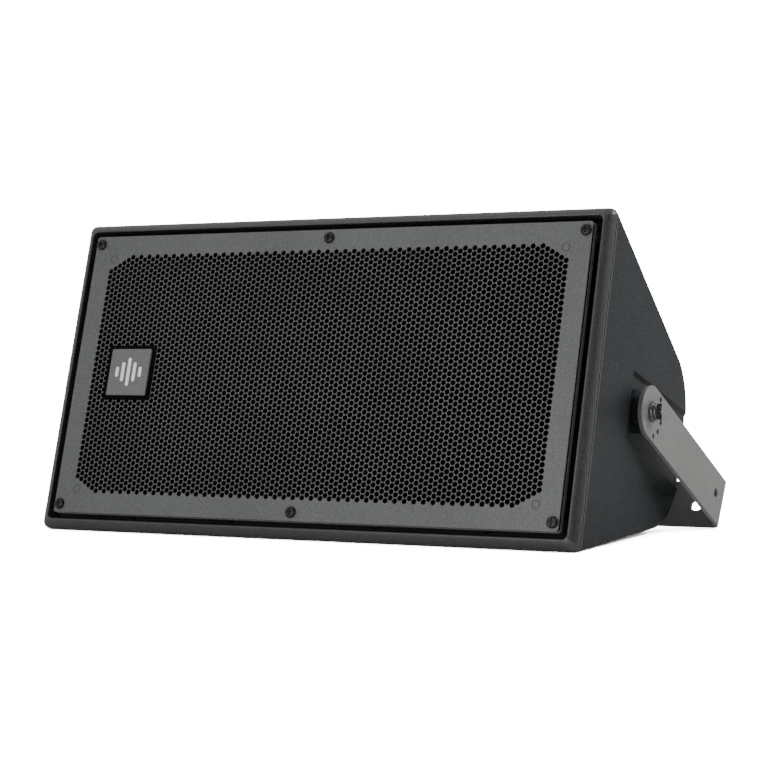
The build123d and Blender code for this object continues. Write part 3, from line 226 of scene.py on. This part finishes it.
def grained(
    slot, dark, light, grain, depth, rough=(0.4, 0.6), metallic=0.0, broad=0.05,
    contrast=0.35, edge=0.0, edge_tone=None, **others,
):
    """Finish with a fine grain over a broad, faint change of tone.

    grain and broad are feature sizes in metres, and depth is the grain's height.
    """
    made = Finish(slot, metallic=metallic)
    fine = made.noise(grain, detail=3.0, roughness=0.6)
    wide = made.noise(broad, detail=2.0)
    fine_share = made.math("MULTIPLY", fine, contrast)
    tone = made.math("ADD", fine_share, made.math("MULTIPLY", wide, 1 - contrast))
    colour = made.mix(made.between(tone, 0.36, 0.64), dark, light)
    under = None
    if edge:
        under, near = made.edges(edge)
        # edges lightened towards edge_tone in patches: partly wear, partly painted highlight along the edges
        if edge_tone:
            worn_and_lit_edge = made.math("MULTIPLY", near, made.between(wide, 0.35, 0.65, 0.4, 0.9))
            colour = made.mix(worn_and_lit_edge, colour, edge_tone)
    rough_map = made.between(tone, 0.3, 0.7, *rough)
    return made.set(
        Base_Color=colour, Roughness=rough_map, Normal=made.bump(fine, depth, under), **others,
    )


RIM_DEPTH = 11.5 * MM         # from the cabinet's front face back to where its raised rim ends
RIM_BLEND = 3 * MM            # half the depth over which the rim's finish gives way to the sides'


def cabinet_plastic():
    """Charcoal plastic with a moulded spark texture, a little warmer and glossier on the raised rim, where light
    flecks are painted on thickly as glints.
    """
    made = Finish("cabinet_plastic")
    spark = made.noise(1.5 * MM, detail=4.0, roughness=0.68)
    pits = made.cells(1.6 * MM, feature="SMOOTH_F1")
    wide = made.noise(60 * MM, detail=3.0)
    rim_back = reach("cabinet_shell", FORWARD)[1] - RIM_DEPTH
    depth = made.along(FORWARD)
    on_rim = made.between(depth, rim_back - RIM_BLEND, rim_back + RIM_BLEND, smooth=True)
    drift = made.between(wide, 0.35, 0.65)
    side_tone = made.mix(drift, (0.0170, 0.0205, 0.0232), (0.0205, 0.0243, 0.0272))
    rim_tone = made.mix(drift, (0.013, 0.013, 0.014), (0.018, 0.018, 0.019))
    colour = made.mix(on_rim, side_tone, rim_tone)
    # light flecks: partly the plastic's speckle, partly painted glints, laid on far more thickly on the rim than
    # on the sides
    fleck = made.between(made.noise(0.9 * MM, detail=2.0, roughness=0.7), 0.52, 0.70)
    fleck_glints = made.math("MULTIPLY", fleck, made.between(on_rim, 0, 1, 0.10, 0.75))
    colour = made.mix(fleck_glints, colour, (0.075, 0.075, 0.078))
    height = made.math("ADD", spark, made.math("MULTIPLY", pits, 0.5))
    return made.set(
        Base_Color=colour, Roughness=made.between(spark, 0.35, 0.65, 0.34, 0.54),
        Normal=made.bump(height, 0.09 * MM), Specular_IOR_Level=made.between(on_rim, 0, 1, 0.05, 0.85),
    )


FRAME_DEPTH = 3.0 * MM        # from the grille's face back to its folded edge frame


def grille_paint():
    """Mid grey powder coat with light and dark grains, with painted shade in the holes and painted light on the
    frame behind.
    """
    made = Finish("grille_paint")
    peel = made.noise(1.3 * MM, detail=3.0, roughness=0.6)
    grit = made.noise(0.8 * MM, detail=3.0, roughness=0.75)
    wide = made.noise(80 * MM, detail=2.0)
    tone = made.mix(made.between(wide, 0.35, 0.65), (0.082, 0.086, 0.084), (0.098, 0.103, 0.100))
    colour = made.mix(made.between(grit, 0.50, 0.72, 0.0, 0.80), tone, (0.220, 0.226, 0.222))
    colour = made.mix(made.between(grit, 0.46, 0.30, 0.0, 0.7), colour, (0.028, 0.030, 0.029))
    face = reach("grille_panel", FORWARD)[1]
    depth = made.along(FORWARD)
    # painted shade: within the sheet's thickness, the hole walls and the sheet's edges are darkened almost to
    # black
    cut = made.between(depth, face - 0.5 * MM, face - 0.15 * MM, 0.85, 0.0)
    colour = made.mix(cut, colour, (0.010, 0.010, 0.010))
    # painted light: the folded frame behind the sheet is made pale so that its edge in the gap looks lit
    behind = made.between(depth, face - FRAME_DEPTH - 0.5 * MM, face - FRAME_DEPTH, 0.9, 0.0)
    colour = made.mix(behind, colour, (0.24, 0.24, 0.235))
    height = made.math("ADD", peel, made.math("MULTIPLY", grit, 0.6))
    return made.set(
        Base_Color=colour, Roughness=made.between(peel, 0.3, 0.7, 0.40, 0.60),
        Normal=made.bump(height, 0.07 * MM, made.edges(0.3 * MM)[0]), Specular_IOR_Level=0.45,
    )


def black_foam():
    """Open-cell foam: a mat of small pores, nearly black."""
    made = Finish("black_foam", roughness=0.95)
    pores = made.cells(0.9 * MM, feature="DISTANCE_TO_EDGE")
    strands = made.between(pores, 0.0, 0.18, 1.0, 0.0)
    colour = made.mix(strands, (0.0006, 0.0006, 0.0006), (0.0035, 0.0035, 0.0037))
    return made.set(Base_Color=colour, Normal=made.bump(strands, 0.25 * MM), Specular_IOR_Level=0.02)


def bracket_paint():
    """Warm grey satin paint over rolled steel, with patches of wear and painted highlight lightening its edges."""
    made = Finish("bracket_paint")
    peel = made.noise(2.2 * MM, detail=2.0)
    grit = made.noise(0.7 * MM, detail=3.0, roughness=0.7)
    wide = made.noise(60 * MM, detail=2.0)
    tone = made.mix(made.between(wide, 0.35, 0.65), (0.186, 0.182, 0.177), (0.212, 0.208, 0.202))
    colour = made.mix(made.between(grit, 0.48, 0.74, 0.0, 0.45), tone, (0.290, 0.285, 0.277))
    colour = made.mix(made.between(grit, 0.44, 0.28, 0.0, 0.45), colour, (0.100, 0.098, 0.095))
    rounded, near = made.edges(0.45 * MM)
    # edges lightened in patches: partly wear, partly painted highlight
    patches = made.between(made.noise(9 * MM, detail=4.0), 0.45, 0.6, 0.10, 0.55)
    rubbed_and_lit_edges = made.math("MULTIPLY", near, patches)
    colour = made.mix(rubbed_and_lit_edges, colour, (0.32, 0.316, 0.31))
    height = made.math("ADD", peel, made.math("MULTIPLY", grit, 0.5))
    return made.set(
        Base_Color=colour, Roughness=made.between(peel, 0.3, 0.7, 0.34, 0.50),
        Normal=made.bump(height, 0.04 * MM, rounded), Specular_IOR_Level=0.5,
    )


def turned_metal(slot, dark, light, origin, direction, rough=(0.25, 0.45), tarnish=None):
    """Metal with fine rings about an axis, as a lathe leaves them."""
    made = Finish(slot, metallic=1.0)
    radius = made.from_axis(origin, direction)
    wave = made.math("SINE", made.math("MULTIPLY", radius, tau / (0.35 * MM)))
    blotch = made.noise(3 * MM, detail=4.0)
    scratch = made.noise(0.5 * MM, detail=3.0, place=made.stretched((1.0, 0.12, 0.12)))
    tone = made.math("ADD", made.math("MULTIPLY", blotch, 0.6), made.math("MULTIPLY", scratch, 0.4))
    colour = made.mix(made.between(tone, 0.36, 0.64), dark, light)
    if tarnish:
        colour = made.mix(made.between(blotch, 0.55, 0.7, 0.0, 0.6), colour, tarnish)
    rounded, _ = made.edges(0.2 * MM)
    height = made.math("ADD", made.math("MULTIPLY", wave, 0.2), scratch)
    return made.set(
        Base_Color=colour, Roughness=made.between(tone, 0.3, 0.7, *rough),
        Normal=made.bump(height, 0.012 * MM, rounded),
    )


def wound_wire():
    """Enamelled copper, wound in turns 0.6 mm apart along the drivers' axis."""
    made = Finish("copper_wire", metallic=0.85)
    turns = made.math("SINE", made.math("MULTIPLY", made.along(FORWARD), tau / (0.6 * MM)))
    blotch = made.noise(4 * MM, detail=3.0)
    colour = made.mix(made.between(blotch, 0.35, 0.65), (0.42, 0.13, 0.05), (0.62, 0.24, 0.10))
    # painted shade: darker in the grooves between the turns
    colour = made.mix(made.between(turns, -0.9, -0.2, 0.75, 0.0), colour, (0.10, 0.03, 0.015))
    return made.set(
        Base_Color=colour, Roughness=made.between(blotch, 0.3, 0.7, 0.22, 0.4),
        Normal=made.bump(turns, 0.1 * MM),
    )


def woven(slot, dark, light, pitch, depth, rough=0.85):
    """Plain weave in the plane of the grille, with threads pitch metres apart."""
    made = Finish(slot, roughness=rough)
    step = tau / pitch
    warp = made.math("SINE", made.math("MULTIPLY", made.along(ACROSS), step))
    weft = made.math("SINE", made.math("MULTIPLY", made.along(UP), step))
    cross = made.math("MULTIPLY", warp, weft)
    blotch = made.noise(6 * MM, detail=3.0)
    colour = made.mix(made.between(cross, -0.6, 0.6), dark, light)
    colour = made.mix(made.between(blotch, 0.35, 0.7, 0.0, 0.35), colour, dark)
    return made.set(Base_Color=colour, Normal=made.bump(cross, depth))


def fibrous(slot, dark, light, length, depth, rough=0.9, **others):
    """Matted fibres, as in paper pulp or loose wool."""
    made = Finish(slot, roughness=rough)
    lying = made.stretched((1, 0.22, 1), (0.3, 0.2, 0.9))
    crossing = made.stretched((0.22, 1, 1), (0.8, 0.1, 0.4))
    first = made.noise(length, detail=4.0, place=lying, distortion=0.6)
    second = made.noise(length, detail=4.0, place=crossing, distortion=0.6)
    fibres = made.math("MAXIMUM", first, second)
    colour = made.mix(made.between(fibres, 0.42, 0.7), dark, light)
    return made.set(Base_Color=colour, Normal=made.bump(fibres, depth), **others)


def circuit_board():
    """Green solder mask over copper tracks, with tinned pads."""
    made = Finish("circuit_board", roughness=0.3)
    flat = made.stretched((1, 1, 1))
    tracks = made.cells(7 * MM, feature="DISTANCE_TO_EDGE", place=flat, randomness=0.55)
    track = made.between(tracks, 0.05, 0.09, 1.0, 0.0)
    weave = made.noise(0.6 * MM, detail=2.0)
    colour = made.mix(made.between(weave, 0.4, 0.6), (0.006, 0.055, 0.022), (0.010, 0.075, 0.030))
    colour = made.mix(track, colour, (0.022, 0.150, 0.050))
    pads = made.between(made.cells(6 * MM, place=flat), 0.16, 0.2, 1.0, 0.0)
    colour = made.mix(pads, colour, (0.62, 0.60, 0.55))
    height = made.math("ADD", track, pads)
    return made.set(Base_Color=colour, Normal=made.bump(height, 0.05 * MM), Coat_Weight=0.3)


FINISHES = {
    "cabinet_plastic": cabinet_plastic,
    "grille_paint": grille_paint,
    "black_foam": black_foam,
    "bracket_paint": bracket_paint,
    "copper_wire": wound_wire,
    "circuit_board": circuit_board,
    "black_steel": lambda: grained(
        "black_steel", (0.005, 0.005, 0.005), (0.011, 0.011, 0.012), 0.5 * MM, 0.012 * MM,
        rough=(0.26, 0.40), broad=3 * MM, edge=0.2 * MM, edge_tone=(0.05, 0.05, 0.052),
        Specular_IOR_Level=0.35,
    ),
    "black_rubber": lambda: grained(
        "black_rubber", (0.010, 0.010, 0.010), (0.022, 0.022, 0.023), 0.6 * MM, 0.03 * MM,
        rough=(0.55, 0.78), broad=12 * MM, Specular_IOR_Level=0.35,
    ),
    "baffle_board": lambda: grained(
        "baffle_board", (0.010, 0.010, 0.010), (0.026, 0.025, 0.024), 1.4 * MM, 0.08 * MM,
        rough=(0.65, 0.9), broad=20 * MM, Specular_IOR_Level=0.25,
    ),
    "badge_grey": lambda: grained(
        "badge_grey", (0.112, 0.114, 0.114), (0.136, 0.138, 0.138), 0.5 * MM, 0.012 * MM,
        rough=(0.40, 0.52), broad=14 * MM, edge=0.3 * MM, edge_tone=(0.24, 0.24, 0.24),
    ),
    # black backing plate round the badge, made near black and dull partly as painted shade of the raised badge
    # tile
    "badge_black": lambda: grained(
        "badge_black", (0.0015, 0.0015, 0.0015), (0.0035, 0.0035, 0.0035), 0.6 * MM, 0.02 * MM,
        rough=(0.6, 0.8), broad=10 * MM, Specular_IOR_Level=0.04,
    ),
    "badge_white": lambda: grained(
        "badge_white", (0.80, 0.80, 0.79), (0.90, 0.90, 0.89), 0.4 * MM, 0.006 * MM,
        rough=(0.30, 0.42), broad=8 * MM, edge=0.15 * MM, edge_tone=(0.95, 0.95, 0.95),
    ),
    "cast_alloy": lambda: grained(
        "cast_alloy", (0.016, 0.016, 0.017), (0.040, 0.040, 0.042), 1.2 * MM, 0.06 * MM,
        rough=(0.45, 0.65), metallic=0.25, broad=18 * MM, edge=0.5 * MM, edge_tone=(0.12, 0.12, 0.12),
    ),
    "ferrite": lambda: grained(
        "ferrite", (0.022, 0.022, 0.024), (0.060, 0.060, 0.064), 0.8 * MM, 0.05 * MM,
        rough=(0.45, 0.75), metallic=0.15, broad=5 * MM, edge=0.6 * MM, edge_tone=(0.14, 0.14, 0.145),
    ),
    "plated_steel": lambda: turned_metal(
        "plated_steel", (0.42, 0.42, 0.40), (0.66, 0.66, 0.62), PIVOT, FORWARD, tarnish=(0.40, 0.36, 0.24),
    ),
    "bolt_steel": lambda: turned_metal(
        "bolt_steel", (0.16, 0.16, 0.165), (0.34, 0.34, 0.345), PIVOT, ACROSS,
        rough=(0.16, 0.34), tarnish=(0.08, 0.078, 0.074),
    ),
    "brass_insert": lambda: turned_metal(
        "brass_insert", (0.46, 0.30, 0.09), (0.68, 0.48, 0.17), PIVOT, ACROSS, tarnish=(0.30, 0.17, 0.06),
    ),
    "paper_cone": lambda: fibrous(
        "paper_cone", (0.008, 0.008, 0.008), (0.034, 0.033, 0.032), 2.2 * MM, 0.12 * MM,
    ),
    "polyester_wool": lambda: fibrous(
        "polyester_wool", (0.40, 0.40, 0.37), (0.80, 0.80, 0.76), 7 * MM, 1.6 * MM, Sheen_Weight=0.3,
    ),
    "spider_cloth": lambda: woven(
        "spider_cloth", (0.16, 0.08, 0.02), (0.46, 0.27, 0.08), 0.9 * MM, 0.12 * MM,
    ),
    "former_foil": lambda: grained(
        "former_foil", (0.36, 0.19, 0.05), (0.50, 0.29, 0.09), 1.5 * MM, 0.02 * MM,
        rough=(0.25, 0.40), metallic=0.3, broad=10 * MM,
    ),
    "horn_plastic": lambda: grained(
        "horn_plastic", (0.012, 0.012, 0.013), (0.026, 0.026, 0.028), 0.8 * MM, 0.035 * MM,
        rough=(0.42, 0.60), broad=30 * MM, edge=0.5 * MM, edge_tone=(0.07, 0.07, 0.07),
    ),
    "titanium_foil": lambda: turned_metal(
        "titanium_foil", (0.40, 0.39, 0.40), (0.58, 0.57, 0.58), PIVOT, FORWARD, rough=(0.30, 0.45),
    ),
    "capacitor_film": lambda: grained(
        "capacitor_film", (0.40, 0.19, 0.015), (0.58, 0.31, 0.035), 2.5 * MM, 0.05 * MM,
        rough=(0.18, 0.32), broad=9 * MM, Coat_Weight=0.4,
    ),
    "ceramic": lambda: grained(
        "ceramic", (0.60, 0.58, 0.52), (0.76, 0.74, 0.68), 0.7 * MM, 0.06 * MM,
        rough=(0.55, 0.80), broad=7 * MM, edge=0.4 * MM, edge_tone=(0.82, 0.80, 0.75),
    ),
    "gland_nylon": lambda: grained(
        "gland_nylon", (0.014, 0.014, 0.015), (0.030, 0.030, 0.032), 0.6 * MM, 0.02 * MM,
        rough=(0.34, 0.48), broad=9 * MM, edge=0.35 * MM, edge_tone=(0.09, 0.09, 0.09),
    ),
    "terminal_plastic": lambda: grained(
        "terminal_plastic", (0.020, 0.020, 0.021), (0.038, 0.038, 0.040), 0.8 * MM, 0.03 * MM,
        rough=(0.42, 0.58), broad=25 * MM, edge=0.4 * MM, edge_tone=(0.10, 0.10, 0.10),
    ),
}
made_finishes = {}


def finish_of(slot):
    """The material of a slot of the record, made once."""
    if slot not in made_finishes:
        made_finishes[slot] = FINISHES[slot]()
    return made_finishes[slot]


# ---------------------------------------------------------------- the perforated grille sheet
# Lengths in this section are in millimetres. Only the vertices are points of the row frame, in metres.
HOLE_D = 4.5
PITCH = 5.0
COLUMNS = 51                  # columns of holes on each side of the middle one
FIELD_HALF = 92.5             # half height of the outermost columns
FIELD_LIMIT = 105.0           # half height of the field's tall middle part
HOLE_SIDES = 10               # sides of the polygon that stands for each hole
SCREW_HOLE_R = 2.8
STUD_MARK_D = 7.2
STUD_PROFILE = ((3.5, 0.34), (3.1, 0.38), (2.9, 0.06), (2.4, -0.03))   # radius and depth of its rings
STUD_SIDES = 32
SHEET_EDGE = 0.25             # chamfer round the sheet
SHEET_CORNER = 2.5
CORNER_SIDES = 6


def circle(x, y, radius, sides, turn=0.0):
    """Points of a regular polygon with a circle's area, counter-clockwise."""
    even = radius * sqrt(tau / (sides * sin(tau / sides)))
    return [
        (x + even * cos(turn + tau * i / sides), y + even * sin(turn + tau * i / sides))
        for i in range(sides)
    ]


def rounded_outline(half_x, half_y, radius):
    """Rectangle with rounded corners, counter-clockwise."""
    points = []
    for quarter, (sx, sy) in enumerate(((1, 1), (-1, 1), (-1, -1), (1, -1))):
        for i in range(CORNER_SIDES + 1):
            angle = (quarter + i / CORNER_SIDES) * pi / 2
            points.append((
                sx * (half_x - radius) + radius * cos(angle),
                sy * (half_y - radius) + radius * sin(angle),
            ))
    return points


def hole_centres():
    """Centres of the round holes, from the middle of the sheet."""
    spacing = PITCH * sqrt(3) / 2
    centres = []
    for column in range(-COLUMNS, COLUMNS + 1):
        limit = FIELD_HALF + PITCH / 2 * (COLUMNS - abs(column))
        limit = min(limit, FIELD_LIMIT)
        shift = PITCH / 2 if column % 2 else 0.0
        rows = int((limit - shift) // PITCH)
        for row in range(-rows - (1 if column % 2 else 0), rows + 1):
            centres.append((column * spacing, row * PITCH + shift))
    return centres


def band(rings):
    """Quads between neighbouring rings of the same size."""
    faces = []
    for first, second in zip(rings, rings[1:]):
        size = len(first)
        faces += [
            (first[i], second[i], second[(i + 1) % size], first[(i + 1) % size]) for i in range(size)
        ]
    return faces


def triangles(loops):
    """The outlines' points, and the triangles between them, each with the outline that it is inside.

    A triangle of the sheet itself counts as inside outline 0.
    """
    points, owner, edges = [], [], []
    for index, loop in enumerate(loops):
        start = len(points)
        points += [Vector(point) for point in loop]
        owner += [index] * len(loop)
        edges += [(start + i, start + (i + 1) % len(loop)) for i in range(len(loop))]
    flat = delaunay_2d_cdt(points, edges, [], 0, 1e-6)
    assert len(flat[0]) == len(points)
    source = [origins[0] for origins in flat[3]]
    found = []
    for face in flat[2]:
        face = [source[i] for i in face]
        owners = {owner[i] for i in face}
        found.append((face, owners.pop() if len(owners) == 1 else 0))
    return points, found


def grille_sheet():
    """The sheet with its holes cut, its screw holes, and the rings of its clinched studs."""
    half_x = reach("grille_panel", ACROSS)[1] / MM
    low_z, high_z = reach("grille_panel", UP)
    low_y, high_y = reach("grille_panel", FORWARD)
    half_z, thick = (high_z - low_z) / 2 / MM, (high_y - low_y) / MM
    middle = UP * (high_z + low_z) / 2 + FORWARD * high_y
    screws = node_centres("grille_screws", middle)
    studs = node_centres("grille_studs", middle)

    loops = [rounded_outline(half_x - SHEET_EDGE, half_z - SHEET_EDGE, SHEET_CORNER - SHEET_EDGE)]
    loops += [circle(x, y, SCREW_HOLE_R, STUD_SIDES) for x, y in screws]
    stud_loops = range(len(loops), len(loops) + len(studs))
    loops += [circle(x, y, STUD_MARK_D / 2, STUD_SIDES) for x, y in studs]
    loops += [circle(x, y, HOLE_D / 2, HOLE_SIDES, pi / 2) for x, y in hole_centres()]
    points, flat = triangles(loops)
    count = len(points)
    vertices = []

    def ring(outline, depth):
        """Adds an outline's points at a depth behind the face, and gives their numbers."""
        start = len(vertices)
        vertices.extend(middle + (ACROSS * x + UP * y + BACK * depth) * MM for x, y in outline)
        return list(range(start, len(vertices)))

    ring(points, 0.0)
    ring(points, thick)
    faces = [face for face, inside in flat if not inside]
    faces += [
        [count + i for i in reversed(face)] for face, inside in flat if not inside or inside in stud_loops
    ]
    start = 0
    for index, loop in enumerate(loops):
        front = list(range(start, start + len(loop)))
        rear = [count + i for i in front]
        start += len(loop)
        if index == 0:
            outline = rounded_outline(half_x, half_z, SHEET_CORNER)
            sides = [ring(outline, depth) for depth in (SHEET_EDGE, thick - SHEET_EDGE)]
            faces += band([front, *sides, rear])
        elif index in stud_loops:
            x, y = studs[index - stud_loops.start]
            steps = [ring(circle(x, y, radius, STUD_SIDES), depth) for radius, depth in STUD_PROFILE]
            faces += band([front, *steps][::-1])
            faces.append(steps[-1])
        else:
            faces += band([rear, front])
    flat_piece("grille_sheet", vertices, faces, "cabinet", "grille_paint", "grille_panel")


def node_centres(node, middle):
    """Centres of a node's separate solids across and up the grille, in millimetres."""
    mesh = bmesh.new()
    mesh.from_mesh(frame["nodes"][node].data)
    bmesh.ops.remove_doubles(mesh, verts=mesh.verts, dist=WELD)
    left, centres = set(mesh.verts), []
    while left:
        group, edge = set(), [left.pop()]
        while edge:
            vertex = edge.pop()
            group.add(vertex)
            for link in vertex.link_edges:
                other = link.other_vert(vertex)
                if other in left:
                    left.remove(other)
                    edge.append(other)
        along = [((v.co - middle).dot(ACROSS), (v.co - middle).dot(UP)) for v in group]
        centres.append(tuple((min(each) + max(each)) / 2 / MM for each in zip(*along)))
    mesh.free()
    return sorted(centres)


grille_sheet()

# ---------------------------------------------------------------- finishes of the CAD nodes
EDGE_BREAKS = {
    "pivot_bolts": 0.35, "pivot_washers": 0.25, "pivot_spring_washers": 0.25, "badge_plate": 0.3,
}

for each in frame["record"]["subparts"]:
    node = frame["nodes"][each["node"]]
    slot = each["material_slot"]
    node.data.materials.clear()
    node.data.materials.append(finish_of(slot))

for name, width in EDGE_BREAKS.items():
    soft_edges(frame["nodes"][name], width * MM)

# ---------------------------------------------------------------- floor, light and camera
BACKDROP = 18.0               # how bright the backdrop looks to the camera
FLOOR_WHITE = 30.0            # and the floor, under the studio's light
FLOOR_HALF = 12.0
STUDIO = 0.95                 # brightness of the studio's white walls
DARK = 0.05                   # and of its dark side, to the right of the camera
DARK_SIDE = Vector((0.94, -0.34, 0.0))


def background():
    """Bright backdrop for the camera, and a white studio with a dark side for everything else."""
    world = bpy.data.worlds.new("studio")
    world.use_nodes = True
    tree = world.node_tree
    seen = tree.nodes["Background"]
    seen.inputs["Color"].default_value = (1, 1, 1, 1)
    seen.inputs["Strength"].default_value = BACKDROP
    place = tree.nodes.new("ShaderNodeTexCoord")
    facing = tree.nodes.new("ShaderNodeVectorMath")
    facing.operation = "DOT_PRODUCT"
    facing.inputs[1].default_value = DARK_SIDE
    tree.links.new(place.outputs["Generated"], facing.inputs[0])
    ramp = tree.nodes.new("ShaderNodeMapRange")
    for name, number in zip(("From Min", "From Max", "To Min", "To Max"), (0.15, 0.8, STUDIO, DARK)):
        ramp.inputs[name].default_value = number
    tree.links.new(facing.outputs["Value"], ramp.inputs["Value"])
    soft = tree.nodes.new("ShaderNodeBackground")
    soft.inputs["Color"].default_value = (0.985, 0.99, 1.0, 1)
    tree.links.new(ramp.outputs[0], soft.inputs["Strength"])
    path = tree.nodes.new("ShaderNodeLightPath")
    mix = tree.nodes.new("ShaderNodeMixShader")
    tree.links.new(path.outputs["Is Camera Ray"], mix.inputs["Fac"])
    tree.links.new(soft.outputs[0], mix.inputs[1])
    tree.links.new(seen.outputs[0], mix.inputs[2])
    tree.links.new(mix.outputs[0], tree.nodes["World Output"].inputs["Surface"])
    bpy.context.scene.world = world


def floor():
    """Plain pale floor."""
    mesh = bpy.data.meshes.new("floor")
    signs = ((-1, -1), (1, -1), (1, 1), (-1, 1))
    mesh.from_pydata([(x * FLOOR_HALF, y * FLOOR_HALF, 0) for x, y in signs], [], [(0, 1, 2, 3)])
    made = bpy.data.objects.new("floor", mesh)
    made.location.z = -0.1 * MM
    bpy.context.scene.collection.objects.link(made)
    material = bpy.data.materials.new("floor")
    material.use_nodes = True
    tree = material.node_tree
    tree.nodes.remove(tree.nodes["Principled BSDF"])
    bounce = tree.nodes.new("ShaderNodeBsdfDiffuse")
    bounce.inputs["Color"].default_value = (0.85, 0.85, 0.85, 1)
    seen = tree.nodes.new("ShaderNodeBsdfDiffuse")
    seen.inputs["Color"].default_value = (FLOOR_WHITE, FLOOR_WHITE, FLOOR_WHITE, 1)
    path = tree.nodes.new("ShaderNodeLightPath")
    mix = tree.nodes.new("ShaderNodeMixShader")
    tree.links.new(path.outputs["Is Camera Ray"], mix.inputs["Fac"])
    tree.links.new(bounce.outputs[0], mix.inputs[1])
    tree.links.new(seen.outputs[0], mix.inputs[2])
    tree.links.new(mix.outputs[0], tree.nodes["Material Output"].inputs["Surface"])
    mesh.materials.append(material)


def softbox(name, place, aim, size, power, tint=(1, 1, 1)):
    """Square area light that looks at a point, with its size in metres and its power in watts."""
    data = bpy.data.lights.new(name, "AREA")
    data.shape = "SQUARE"
    data.size = size
    data.energy = power
    data.color = tint
    light = bpy.data.objects.new(name, data)
    light.location = place
    light.rotation_euler = (Vector(aim) - Vector(place)).to_track_quat("-Z", "Y").to_euler()
    bpy.context.scene.collection.objects.link(light)


def camera():
    """The main view, from the front and the right, level with the object's middle."""
    data = bpy.data.cameras.new("camera")
    data.sensor_width = 36.0
    data.lens = 106.478
    made = bpy.data.objects.new("camera", data)
    made.location = (0.975909, -1.724139, 0.145489)
    aim = Vector((-0.002833, 0.0, 0.127231))
    made.rotation_euler = (aim - made.location).to_track_quat("-Z", "Y").to_euler()
    bpy.context.scene.collection.objects.link(made)
    bpy.context.scene.camera = made


camera()
background()
floor()
MIDDLE = (0, 0, 0.14)
softbox("key", (0.05, -1.15, 0.26), (0.22, -0.1, 0.0), 0.45, 4.0)
softbox("side", (2.6, 1.2, 2.2), MIDDLE, 1.0, 54, (1.0, 0.99, 0.97))
